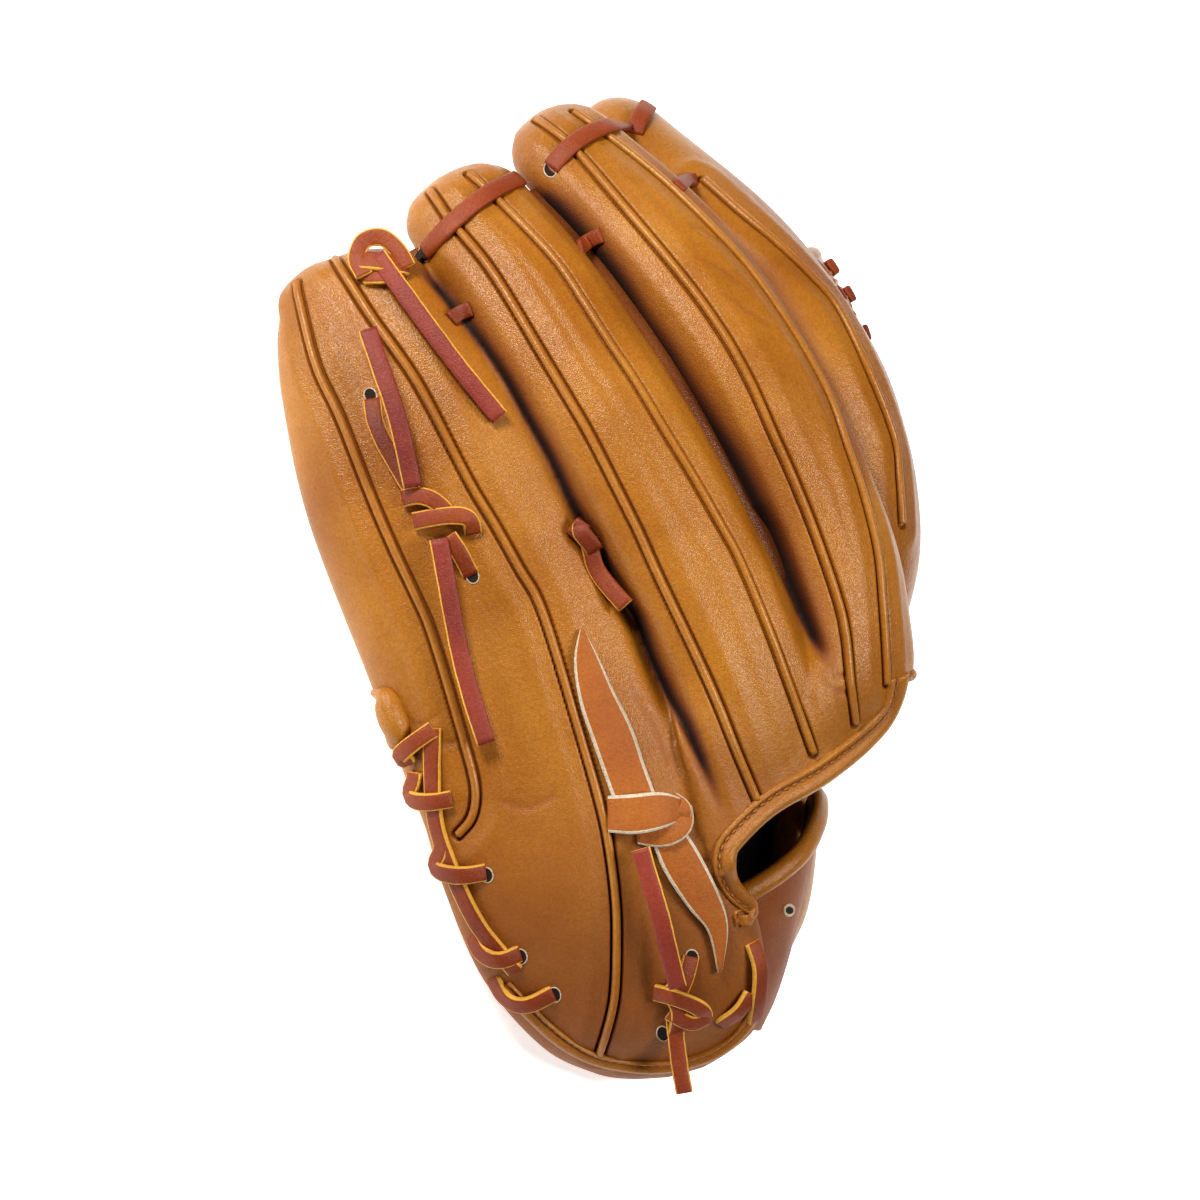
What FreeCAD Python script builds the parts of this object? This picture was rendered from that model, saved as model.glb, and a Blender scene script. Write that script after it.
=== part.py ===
"""Baseball glove for the left hand, lying palm down with its back up.

+X runs towards the thumb, +Y towards the fingertips and +Z up. The origin is on the surface that
the glove lies on, below the middle of its box. Lengths are in millimetres.

The glove is an assembly of leather shells. Each finger stall is a hollow tube, lofted through
ellipses that stand square to the middle line of the finger. The hand, the heel, the strap and the
web are curved panels, lofted through thin cross-sections. Welts, bindings and laces are tubes.
"""
import FreeCAD, Part
import math
import os

Vector = FreeCAD.Vector

doc = FreeCAD.newDocument("baseball_glove")
sheet = doc.addObject("Spreadsheet::Sheet", "Sizes")
node_objects = []

# Leather and lace gauges.
GAUGES = {
    "leather": 2.4,          # outer shell leather
    "lining": 0.9,           # soft inner leather
    "pad": 4.0,              # felt in the palm
    "stiffener": 3.0,        # plastic insert of the pinky and the thumb
    "welt_radius": 1.2,      # raised strip between two seams
    "binding_radius": 2.1,   # rolled edge
    "lace_radius": 1.5,      # lace, as a round tube of the same section
    "tail_radius": 1.5,      # free end of a lace
    "strap_thick": 1.8,      # tan strap that ties the pinky loop
    "loop_ring": 9.0,        # inner loop for the pinky
    "thumb_ring": 3.5,       # inner loop for the thumb
    "loop_cord": 1.5,
    "loose": 1.0,            # gap between two layers
    "sleeve_gap": 1.4,       # gap between a stall and its stiffener
    "welt_gap": 1.6,         # gap between a stall and the welt on it
    "pad_gap": 1.5,          # gap between the palm leather and its felt
}
WEB_GAP = 0.4                # between the two leathers of the web
SLEEVE_THICK = 0.68          # share of a stall's thickness taken by its stiffener sleeve
LACE_LIFT = 2.4              # middle line of a fingertip lace above the leather

# Stations along each stall, from its base to its tip:
# y, x and z of the middle line, half the width, half the thickness, and the roll of the back
# from straight up, in degrees towards the thumb.
STALLS = {
    "pinky": [
        (-28, -70, 34.5, 39.5, 15.5, -40),
        (0, -73, 32, 38.5, 15.5, -40),
        (50, -78, 26.8, 36, 15.5, -40),
        (90, -79, 21, 29, 13.5, -40),
        (112, -76, 17.5, 19, 11, -40),
        (121, -74, 15, 6, 4, -40),
    ],
    "ring": [
        (-28, -22.5, 77, 20.5, 14.5, -25),
        (0, -25.5, 74.5, 22, 14.5, -25),
        (50, -33.5, 67, 22, 14.5, -25),
        (95, -38.5, 51, 20.5, 13, -25),
        (122, -37.5, 35, 17, 11.5, -25),
        (135, -34, 26.5, 6, 4.5, -25),
    ],
    "middle": [
        (-28, 17.5, 85, 19, 14.5, 0),
        (0, 18.5, 86.5, 20, 14.5, 0),
        (50, 12.5, 81, 21.5, 14.5, 0),
        (95, 8.5, 64, 20.5, 13, 0),
        (127, 4, 42, 17, 11.5, 0),
        (143, 3, 28, 6, 4.5, 0),
    ],
    "index": [
        (-28, 51, 56, 18, 14, 42),
        (0, 55, 65, 18.5, 14, 32),
        (50, 54, 66, 18.5, 14, 25),
        (90, 50.5, 48, 18, 13, 25),
        (120, 46.5, 25.5, 15, 11, 25),
        (140, 42, 10.5, 5.5, 4, 25),
    ],
    "thumb": [
        (-28, 68, 21.5, 17.5, 14, 45),
        (0, 79, 19.5, 18.5, 14.5, 45),
        (40, 88, 19, 18.5, 14, 45),
        (70, 88, 18, 16, 12.5, 45),
        (88, 84, 16.5, 10, 8, 45),
        (95, 81, 15.5, 4, 3, 45),
    ],
}

# How far along the glove the linings and the welts reach.
LINING_ENDS = {"pinky": 80, "ring": 80, "middle": 85, "index": 80, "thumb": 60}
WELT_ENDS = {"pinky": 108, "ring": 114, "middle": 118, "index": 108, "thumb": 80}

# Cross-sections of the panels: y, then the middle line of the leather as (x, z) points,
# from the pinky side to the thumb side.
PALM = [
    (-34, [(-97, 6), (-78, 8), (-58, 21), (-38, 45), (-10, 60), (18, 65), (36, 50), (47, 28), (52, 9), (67, 4)]),
    (-60, [(-93, 5), (-76, 6), (-57, 15), (-38, 31), (-12, 43), (8, 41), (24, 27), (34, 13), (42, 5), (50, 4)]),
    (-90, [(-91, 5), (-76, 4), (-58, 9), (-40, 17), (-22, 21), (-7, 18), (9, 11), (22, 5), (31, 3.5), (40, 4)]),
    (-115, [(-82, 5), (-71, 3.5), (-57, 5), (-42, 8), (-27, 10), (-14, 8.5), (0, 5.5), (11, 3.5), (19, 3), (27, 4.5)]),
    (-132, [(-67, 6), (-60, 4), (-51, 4), (-41, 5), (-31, 6), (-22, 6), (-13, 5), (-4, 4), (4, 4), (11, 6)]),
    (-140, [(-48, 10), (-43, 8.5), (-38, 8), (-33, 8), (-28, 8), (-23, 8), (-18, 8), (-13, 8), (-8, 8.5), (-3, 10)]),
]
PINKY_HEEL = [
    (-34, [(-102, 12), (-99, 25), (-80, 46), (-57, 60), (-42, 65)]),
    (-70, [(-98, 12), (-92, 26), (-76, 46), (-57, 60), (-43, 66.5)]),
    (-100, [(-95, 12), (-90, 24), (-76, 42), (-57, 54), (-39, 59)]),
    (-125, [(-81, 13), (-77, 22), (-64, 34), (-47, 41), (-32, 44)]),
    (-138, [(-59, 17), (-55, 21), (-47, 25), (-38, 28), (-29, 29)]),
]
HAND_BACK = [
    (-34, [(-38, 68), (-27, 86), (-4, 94), (18, 96.5), (42, 85), (58, 66), (64, 50)]),
    (-48, [(-39, 68.5), (-30, 83), (-13, 89), (7, 90.5), (25, 86), (38, 76), (45, 67)]),
    (-58, [(-39.5, 68.5), (-34, 78), (-25, 83), (-15, 85), (-5, 85.5), (4, 84.5), (12, 82)]),
    (-66, [(-40, 68.5), (-36.5, 74), (-32, 76.5), (-27, 78), (-21, 78.5), (-15, 78.5), (-9, 78)]),
]
THUMB_HEEL = [
    (-34, [(66, 44), (76, 34), (81, 20), (76, 8)]),
    (-60, [(46, 40), (51, 30), (56, 18), (54, 9)]),
    (-85, [(37, 26), (42, 19), (46, 13), (45, 8)]),
    (-110, [(20, 21), (26, 16), (31, 11), (31, 8)]),
]
STRAP = [
    (-85, [(-37, 66), (-20, 71), (-1, 66), (15, 54), (29, 34)]),
    (-101, [(-34, 57.5), (-20, 60), (-2, 56.5), (13, 44), (23, 29)]),
    (-119, [(-28, 46), (-17, 46.5), (-4, 42), (8, 32), (14, 22)]),
]
WEB = [
    (-14, [(76, 61), (83, 54), (87, 47), (87, 40)]),
    (20, [(78, 63), (85, 56), (90, 48), (92, 39)]),
    (60, [(76, 57), (83, 50), (88, 44), (91, 37)]),
    (84, [(73, 46), (79, 41), (84, 36), (88, 31)]),
]

# Pads: x, y, z of the middle line and the half width and half thickness there.
PINKY_PAD = [(-80, -42, 28, 9, 8), (-79, -70, 26, 10, 9), (-77, -98, 24, 9, 8), (-69, -120, 21, 5, 4.5)]
THUMB_PAD = [(64.8, -39, 17, 4.6, 4), (57.5, -47, 16.3, 4, 3.6), (49.2, -58, 15.5, 3.2, 3)]

# Middle lines of the rolled edges.
BACK_EDGE = [(60, -43, 58), (48, -52, 67), (32, -58, 77.5), (13, -62.5, 81.5), (-8, -70, 78.5),
             (-24, -70.5, 78.5), (-35, -70.5, 74.5)]
HEEL_EDGE = [(-85, -120, 9), (-73, -134, 12), (-56, -142.5, 15), (-40, -144, 17), (-22, -143.5, 15),
             (-3, -142.5, 13), (13, -135.5, 10)]
STRAP_EDGE = [(-36, -81.3, 67.5), (-20, -81, 72.5), (-1, -81, 67.5), (15.5, -81.3, 55.5), (28, -81.5, 37)]

# Routes of the laces that the leather holds all the way.
PINKY_HEEL_LACE = [
    [(-104.5, -37, 21), (-104, -48, 17), (-103, -60, 15), (-102, -72, 15), (-100.5, -84, 17), (-97.5, -97, 21)],
    [(-103.5, -53, 6), (-105.5, -55, 11), (-104.5, -56.5, 20), (-99, -58, 27)],
    [(-101, -79, 5), (-103.5, -81, 11), (-102.5, -82.5, 20), (-97.5, -84, 27.5)],
    [(-96.5, -101, 6.5), (-98.5, -102, 12), (-97, -103, 19), (-92.5, -104, 26.5)],
]
THUMB_HEEL_LACE = [
    [(85.5, -44, 12), (84, -50, 13), (78, -54, 20), (70.5, -54, 27)],
    [(65.5, -62, 11), (63.5, -64, 17), (60, -66, 22), (55.5, -67, 26.5)],
    [(56, -77, 9.5), (54, -79, 15), (50, -81, 19.5), (45.5, -82, 23)],
]
STRAP_LACE = [
    [(-36.5, -97, 66), (-31.5, -104, 63.5), (-27.5, -112, 56.5)],
    [(-28, -117, 53), (-22, -121.5, 50), (-15, -123.5, 47)],
]
CROSS_LACES = [
    [(-61, 94.5, 44.5), (-60.5, 94, 47.5), (-59, 93.5, 50)],
    [(-18.5, 106, 60), (-17, 106, 62), (-14.5, 105.5, 63.5)],
    [(24, 116, 60.5), (28, 115.5, 58), (32, 115, 54.5)],
]
FINGERTIP_ANGLES = (165, 135, 105, 75, 45, 20)

# Ties: knots as short bent strands.
PINKY_TIP_KNOT = [(-78.5, 123.5, 24), (-74.5, 126, 28), (-69, 124.5, 31.5), (-65, 120, 32)]
PINKY_STALL_KNOT = [
    [(-94.5, 78, 31), (-95.5, 68, 33.5), (-95.5, 57, 35)],
    [(-96.5, 45, 35), (-94.5, 41, 41.5), (-90.5, 37.5, 44.5), (-86.5, 31, 47)],
]
RING_TIE = [(-55.5, 21, 67.5), (-54, 14, 71.5), (-52, 7, 73.5), (-50.5, 0, 74.5), (-49, -6, 75)]
HEEL_KNOT = [(-58, -122.5, 49), (-53, -126, 49), (-48.5, -130, 46), (-47.5, -135.5, 41), (-47.5, -141, 35)]

# Free ends, from the knot to the cut end.
TAILS = {
    "pinky_tip_tail": [(-78, 118, 35.5), (-76.5, 103, 42), (-74, 88, 47.6), (-70.8, 74, 52.2), (-66.4, 61, 56)],
    "pinky_stall_upper_tail": [(-95, 48, 42), (-94.5, 60.5, 43), (-94, 73, 43), (-93.5, 85.5, 41), (-92, 97, 38.5)],
    "pinky_stall_lower_tail": [(-92.5, 31, 44), (-93.5, 16, 43), (-94.5, 0, 41.5), (-95, -16, 41), (-94.5, -32, 41.5)],
    "heel_tail": [(-58, -118, 52.5), (-61, -107, 56.5), (-63.5, -96, 60.5), (-65, -85, 62), (-65.5, -75, 62.5)],
}

# The flat strap that ties the pinky loop: the points of its middle line, and half its width there.
STRAP_TAIL_UP = [(-61, -56, 64.5, 6.5), (-62.5, -40, 65.5, 6.5), (-64.5, -24, 65, 6), (-65.5, -10, 64, 1.5)]
STRAP_TAIL_DOWN = [(-57.5, -77, 65.5, 5.5), (-54.5, -90, 65, 6), (-49.5, -104, 61, 5), (-43.5, -116, 55, 1)]
STRAP_KNOT = [(-61, -59, 66.5, 7.5), (-60, -66, 67.5, 8), (-59, -71.5, 67, 7.5)]


def set_sizes(sizes):
    """Write each named size into the sheet, one row each, with its name as the alias."""
    for row, (name, value) in enumerate(sizes.items(), start=1):
        sheet.set(f"A{row}", name)
        sheet.set(f"B{row}", str(value))
        sheet.setAlias(f"B{row}", name)
    doc.recompute()


def all_sizes():
    sizes = dict(GAUGES)
    for finger, stations in STALLS.items():
        for k, (y, x, z, wide, thick, roll) in enumerate(stations):
            sizes[f"{finger}_along_{k}"] = y
            sizes[f"{finger}_across_{k}"] = x
            sizes[f"{finger}_up_{k}"] = z
            sizes[f"{finger}_wide_{k}"] = wide
            sizes[f"{finger}_thick_{k}"] = thick
            sizes[f"{finger}_roll_{k}"] = roll
    return sizes


def keep(obj, label):
    obj.Label = label
    node_objects.append(obj)
    return obj


# ---- finger stalls ----

class Station:
    """One cross-section of a stall: its middle, the way the finger runs there, and its axes."""

    def __init__(self, finger, k):
        self.finger, self.k = finger, k
        middles = [Vector(x, y, z) for y, x, z, *_ in STALLS[finger]]
        self.middle = middles[k]
        ahead = middles[min(k + 1, len(middles) - 1)]
        behind = middles[max(k - 1, 0)]
        self.along = Vector(0, 1, 0) if k == 0 else (ahead - behind).normalize()
        self.wide, self.thick, roll = STALLS[finger][k][3:]
        angle = math.radians(roll)
        across = Vector(math.cos(angle), 0, -math.sin(angle))
        self.back = across.cross(self.along).normalize()
        self.across = self.along.cross(self.back)

    def point(self, angle, out=0.0):
        """The point of the ellipse at an angle, 0 at the thumb edge and 90 at the back."""
        turn = math.radians(angle)
        wide = (self.wide + out) * math.cos(turn)
        thick = (self.thick + out) * math.sin(turn)
        return self.middle + self.across * wide + self.back * thick

    def placement(self, at):
        turn = FreeCAD.Rotation(self.across, self.back, self.along, "ZXY")
        return FreeCAD.Placement(at, turn)


def stations(finger):
    return [Station(finger, k) for k in range(len(STALLS[finger]))]


def ellipse(station, name, inset, shift=Vector(0, 0, 0)):
    """A cross-section of the stall, set in from its outer face by a formula of sheet cells."""
    obj = doc.addObject("Part::Ellipse", name)
    alias = f"{station.finger}_{{}}_{station.k}"
    obj.setExpression("MajorRadius", f"Sizes.{alias.format('wide')} - ({inset})")
    obj.setExpression("MinorRadius", f"Sizes.{alias.format('thick')} - ({inset})")
    obj.Placement = station.placement(station.middle + shift)
    return obj


def loft(name, sections):
    obj = doc.addObject("Part::Loft", name)
    obj.Sections = sections
    obj.Solid = True
    return obj


def tube_along(finger, name, inset, back_off, last=None):
    """A solid through the stations of a stall. back_off moves its two ends: the base and the tip."""
    used = stations(finger)[:last]
    sections = []
    for n, station in enumerate(used):
        shift = Vector(0, 0, 0)
        if n == 0:
            shift = station.along * back_off[0]
        if n == len(used) - 1:
            shift = station.along * -back_off[1]
        sections.append(ellipse(station, f"{name}_{n}", inset, shift))
    return loft(name, sections)


def cut(label, base, tool):
    obj = doc.addObject("Part::Cut", label)
    obj.Base = base
    obj.Tool = tool
    return obj


def trimmed(label, solid, limit):
    """The solid, cut off square at a distance along the glove."""
    beyond = doc.addObject("Part::Box", f"{label}_beyond")
    beyond.Length, beyond.Width, beyond.Height = 300, 200, 200
    beyond.Placement.Base = Vector(-150, limit, -40)
    return keep(cut(label, solid, beyond), label)


def stall(finger):
    """The leather tube of one finger, open at its base and closed at its tip."""
    outer = tube_along(finger, f"{finger}_outside", "0", (0, 0))
    inner = tube_along(finger, f"{finger}_inside", "Sizes.leather", (-1, 3))
    return keep(cut(f"{finger}_stall", outer, inner), f"{finger}_stall")


def lining(finger):
    """The soft sleeve inside a stall. It stops short of the tip."""
    gap = "Sizes.leather + Sizes.sleeve_gap"
    outer = tube_along(finger, f"{finger}_sleeve_outside", gap, (-1, 0), last=-1)
    inner = tube_along(finger, f"{finger}_sleeve_inside", f"{gap} + Sizes.lining", (-2, 0), last=-1)
    return trimmed(f"{finger}_lining", cut(f"{finger}_sleeve", outer, inner), LINING_ENDS[finger])


def filled(name, finger, shift, wide, thick, last=None, start=1):
    """A solid inside a stall, off its middle line by a share of the width there."""
    sections = []
    for n, station in enumerate(stations(finger)[:last]):
        obj = doc.addObject("Part::Ellipse", f"{name}_{n}")
        obj.MajorRadius = wide(station.wide)
        obj.MinorRadius = thick(station.thick)
        middle = station.middle + station.across * shift(station.wide)
        obj.Placement = station.placement(middle + station.along * (start if n == 0 else 0))
        sections.append(obj)
    return loft(name, sections)


def offset_lining(finger, share, aside):
    """A lining narrower than its stall, set aside to leave room for the stiffener."""
    skin = GAUGES["lining"]
    outer = filled(f"{finger}_sleeve_outside", finger, lambda w: aside * w,
                   lambda w: share * w, lambda t: SLEEVE_THICK * t, start=-1)
    inner = filled(f"{finger}_sleeve_inside", finger, lambda w: aside * w,
                   lambda w: share * w - skin, lambda t: SLEEVE_THICK * t - skin, start=-2)
    return trimmed(f"{finger}_lining", cut(f"{finger}_sleeve", outer, inner), LINING_ENDS[finger])


def stiffener(finger, side, inset, half_wide, last):
    """A thin plate that keeps the outer edge of the stall stiff."""
    plate = filled(f"{finger}_stiffener", finger, lambda w: side * (w - inset),
                   lambda w: half_wide, lambda t: GAUGES["stiffener"] / 2, last)
    return keep(plate, f"{finger}_stiffener")


def bead(name, finger, angle):
    """One welt: a round strip on the outside of the stall, at a constant angle round it."""
    clear = GAUGES["welt_radius"] + GAUGES["welt_gap"]
    sections = []
    for n, station in enumerate(stations(finger)):
        ring = doc.addObject("Part::Circle", f"{name}_{n}")
        ring.setExpression("Radius", "Sizes.welt_radius")
        shift = station.along * (1.5 if n == 0 else 0)
        ring.Placement = station.placement(station.point(angle, clear) + shift)
        sections.append(ring)
    return loft(name, sections)


def welts(finger, angles):
    group = doc.addObject("Part::Compound", f"{finger}_beads")
    group.Links = [bead(f"{finger}_welt_{angle}", finger, angle) for angle in angles]
    return trimmed(f"{finger}_welts", group, WELT_ENDS[finger])


def fingertip_lace(finger):
    """The lace that crosses the back of a fingertip, just below its end."""
    station = stations(finger)[4]
    points = [tuple(station.point(angle, LACE_LIFT)) for angle in FINGERTIP_ANGLES]
    return strand(f"{finger}_tip_lace", [points], "lace_radius")


# ---- panels ----

def normals(points):
    """Unit vectors square to a line of points in the XZ plane, on its left side."""
    found = []
    for k in range(len(points)):
        ahead = points[min(k + 1, len(points) - 1)]
        behind = points[max(k - 1, 0)]
        run = (ahead - behind).normalize()
        found.append(Vector(-run.z, 0, run.x))
    return found


def thin_section(y, line, offset, thick):
    """A closed strip of an even thickness about a line of points, as a wire at one y."""
    points = [Vector(x, y, z) for x, z in line]
    out = normals(points)
    upper = [p + n * (offset + thick / 2) for p, n in zip(points, out)]
    lower = [p + n * (offset - thick / 2) for p, n in zip(points, out)]
    top, bottom = Part.BSplineCurve(), Part.BSplineCurve()
    top.interpolate(upper)
    bottom.interpolate(lower)
    edges = [
        top.toShape(),
        Part.makeLine(upper[-1], lower[-1]),
        bottom.toShape(),
        Part.makeLine(lower[0], upper[0]),
    ]
    return Part.Wire(Part.__sortEdges__(edges))


def panel(label, rows, offset, thick, ends=(0, None)):
    """A curved sheet of leather or felt through cross-sections at rising distances."""
    sections = []
    for n, (y, line) in enumerate(rows):
        obj = doc.addObject("Part::Feature", f"{label}_{n}")
        obj.Shape = thin_section(y, line[ends[0]:ends[1]], offset, thick)
        sections.append(obj)
    return keep(loft(label, sections), label)


# ---- tubes: bindings, laces and tails ----

def rounded_path(points, label, report=False):
    """Straight runs joined by tangent arcs, each as large as its two runs allow."""
    corners = [Vector(*p) for p in points]
    edges, start, radii = [], corners[0], []
    for before, corner, after in zip(corners, corners[1:], corners[2:]):
        come, leave = (corner - before), (after - corner)
        turn = come.getAngle(leave)
        reach = 0.45 * min(come.Length, leave.Length)
        radii.append(reach / math.tan(turn / 2))
        come.normalize()
        leave.normalize()
        enter, out = corner - come * reach, corner + leave * reach
        bulge = (leave - come).normalize()
        sagitta = radii[-1] / math.cos(turn / 2) - radii[-1]
        edges.append(Part.makeLine(start, enter))
        edges.append(Part.Arc(enter, corner + bulge * sagitta, out).toShape())
        start = out
    edges.append(Part.makeLine(start, corners[-1]))
    if report:
        print(label, "radii", [round(r, 1) for r in radii])
    return Part.Wire(edges)


def tube(points, radius, label, report=False):
    path = rounded_path(points, label, report)
    first = Vector(*points[0])
    run = (Vector(*points[1]) - first).normalize()
    circle = Part.Wire(Part.makeCircle(radius, first, run))
    solid = path.makePipeShell([circle], True, True)
    if report:
        expected = math.pi * radius ** 2 * path.Length
        print(label, "length", round(path.Length, 1), "volume ratio", round(solid.Volume / expected, 3))
    return solid


def strand(label, runs, gauge, report=False):
    """A node made of one or more tubes of one gauge."""
    radius = float(sheet.get(gauge))
    solids = [tube(points, radius, label, report) for points in runs]
    obj = doc.addObject("Part::Feature", label)
    obj.Shape = solids[0] if len(solids) == 1 else Part.makeCompound(solids)
    return keep(obj, label)


def ribbon(name, points, thick):
    """A flat strap through points that each give half its width, facing the pinky side."""
    facing = Vector(-0.6, 0, 0.8)
    middles = [Vector(*p[:3]) for p in points]
    sections = []
    for k, (middle, point) in enumerate(zip(middles, points)):
        ahead = middles[min(k + 1, len(middles) - 1)]
        behind = middles[max(k - 1, 0)]
        side = (ahead - behind).cross(facing).normalize() * point[3]
        up = facing.normalize() * (thick / 2)
        corners = [middle + side + up, middle - side + up, middle - side - up, middle + side - up]
        sections.append(Part.makePolygon(corners + corners[:1]))
    obj = doc.addObject("Part::Feature", name)
    obj.Shape = Part.makeLoft(sections, True, True)
    return keep(obj, name)


def pad(label, points):
    sections = []
    for n, (x, y, z, wide, thick) in enumerate(points):
        obj = doc.addObject("Part::Ellipse", f"{label}_{n}")
        obj.MajorRadius = wide
        obj.MinorRadius = thick
        turn = FreeCAD.Rotation(Vector(1, 0, 0), Vector(0, 0, 1), Vector(0, -1, 0), "ZXY")
        obj.Placement = FreeCAD.Placement(Vector(x, y, z), turn)
        sections.append(obj)
    return keep(loft(label, sections), label)


def inner_loop(label, ring, at):
    obj = doc.addObject("Part::Torus", label)
    obj.setExpression("Radius1", f"Sizes.{ring}")
    obj.setExpression("Radius2", "Sizes.loop_cord")
    obj.Placement = FreeCAD.Placement(Vector(*at), FreeCAD.Rotation(Vector(1, 0, 0), 90))
    return keep(obj, label)


# ---- the glove ----

set_sizes(all_sizes())

for name in STALLS:
    stall(name)

for name in ("ring", "middle", "index"):
    lining(name)
    fingertip_lace(name)
offset_lining("pinky", 0.55, 0.22)
offset_lining("thumb", 0.58, -0.12)
stiffener("pinky", -1, 13, 5, 4)
stiffener("thumb", 1, 5.5, 2.1, 4)

welts("pinky", (68, 118))
welts("ring", (66, 114))
welts("middle", (60, 118))
welts("index", (78, 126))
welts("thumb", (60, 110))

LEATHER = GAUGES["leather"]
panel("palm_shell", PALM, 0, LEATHER)
panel("pinky_heel_shell", PINKY_HEEL, 0, LEATHER)
panel("hand_back_shell", HAND_BACK, 0, LEATHER)
panel("thumb_heel_shell", THUMB_HEEL, 0, LEATHER)
panel("wrist_strap", STRAP, 0, LEATHER)

pad_offset = LEATHER / 2 + GAUGES["pad_gap"] + GAUGES["pad"] / 2
lining_offset = pad_offset + GAUGES["pad"] / 2 + GAUGES["loose"] + GAUGES["lining"] / 2
panel("palm_pad", PALM[:-1], pad_offset, GAUGES["pad"], ends=(1, -1))
panel("palm_lining", PALM[:-1], lining_offset, GAUGES["lining"], ends=(1, -1))
under = -(LEATHER + GAUGES["lining"]) / 2 - GAUGES["loose"]
panel("strap_lining", STRAP, under, GAUGES["lining"])
panel("web_outer", WEB, (LEATHER + WEB_GAP) / 2, LEATHER)
panel("web_inner", WEB, -(LEATHER + WEB_GAP) / 2, LEATHER)
pad("pinky_heel_pad", PINKY_PAD)
pad("thumb_heel_pad", THUMB_PAD)
inner_loop("pinky_loop", "loop_ring", (-58, -48, 44.5))
inner_loop("thumb_loop", "thumb_ring", (57, -39, 38))

strand("back_binding", [BACK_EDGE], "binding_radius")
strand("heel_binding", [HEEL_EDGE], "binding_radius")
strand("strap_binding", [STRAP_EDGE], "binding_radius")
strand("pinky_heel_lace", PINKY_HEEL_LACE, "lace_radius")
strand("thumb_heel_lace", THUMB_HEEL_LACE, "lace_radius")
strand("strap_lace", STRAP_LACE, "lace_radius")
strand("cross_laces", CROSS_LACES, "lace_radius")
strand("pinky_tip_knot", [PINKY_TIP_KNOT], "lace_radius")
strand("pinky_stall_knot", PINKY_STALL_KNOT, "lace_radius")
strand("ring_tie", [RING_TIE], "lace_radius")
strand("heel_knot", [HEEL_KNOT], "lace_radius")
for name, route in TAILS.items():
    strand(name, [route], "tail_radius", report=True)
ribbon("loop_strap_upper", STRAP_TAIL_UP, GAUGES["strap_thick"])
ribbon("loop_strap_knot", STRAP_KNOT, 2 * GAUGES["strap_thick"])
ribbon("loop_strap_lower", STRAP_TAIL_DOWN, GAUGES["strap_thick"])

doc.recompute()
failed = [o.Label for o in doc.Objects if {"Invalid", "Error"} & set(o.State)]
failed += [o.Label for o in node_objects if o.Shape.isNull() or not o.Shape.isValid()]
if failed:
    raise SystemExit(f"these objects failed: {failed}")

os.makedirs("parts", exist_ok=True)
for obj in node_objects:
    obj.Shape.exportStep(f"parts/{obj.Label}.step")
print(len(node_objects), "nodes")
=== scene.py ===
"""Looks of a baseball glove that lies palm down: leather skins, welts, stitches, laces and ties.

Lengths are named in millimetres and turned into metres where meshes are made. The back of the glove
is described as a person looking at it from the pinky side sees it: "across" runs from the pinky edge
up over the back, "along" runs to the fingertips, and a point is dropped onto the leather in the
direction of sight.
"""
import math

import bmesh
import bpy
import numpy as np
from mathutils import Matrix, Vector, noise
from mathutils.bvhtree import BVHTree
from mathutils.kdtree import KDTree


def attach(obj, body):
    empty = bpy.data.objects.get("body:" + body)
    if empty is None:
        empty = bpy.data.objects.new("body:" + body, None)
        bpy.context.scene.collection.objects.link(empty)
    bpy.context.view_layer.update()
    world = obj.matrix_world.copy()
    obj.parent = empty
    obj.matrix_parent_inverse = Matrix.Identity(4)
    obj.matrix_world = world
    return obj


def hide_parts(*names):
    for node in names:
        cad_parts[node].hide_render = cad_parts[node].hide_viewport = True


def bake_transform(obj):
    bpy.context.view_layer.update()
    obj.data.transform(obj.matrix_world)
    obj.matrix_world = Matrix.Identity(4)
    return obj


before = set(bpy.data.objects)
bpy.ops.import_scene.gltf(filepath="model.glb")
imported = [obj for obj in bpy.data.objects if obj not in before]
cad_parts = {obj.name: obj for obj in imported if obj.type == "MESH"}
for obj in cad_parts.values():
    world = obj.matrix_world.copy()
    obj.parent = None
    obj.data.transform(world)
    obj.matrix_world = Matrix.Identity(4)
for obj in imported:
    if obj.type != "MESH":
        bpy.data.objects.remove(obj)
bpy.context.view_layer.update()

MM = 0.001

# The tilted directions in which the back is seen.
TILT = math.radians(40)
ACROSS = Vector((math.cos(TILT), 0, math.sin(TILT)))
ALONG = Vector((0, 1, 0))
TOWARDS = Vector((-math.sin(TILT), 0, math.cos(TILT)))
VIEW = np.array([ACROSS, ALONG, TOWARDS])
MIDDLE = Vector((-57, 0, 66.2))
# In the picture the fingers lean to the left by this angle.
LEAN = math.radians(16)
VIEW_RIGHT = ACROSS * math.cos(LEAN) - ALONG * math.sin(LEAN)
VIEW_UP = ACROSS * math.sin(LEAN) + ALONG * math.cos(LEAN)

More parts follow.
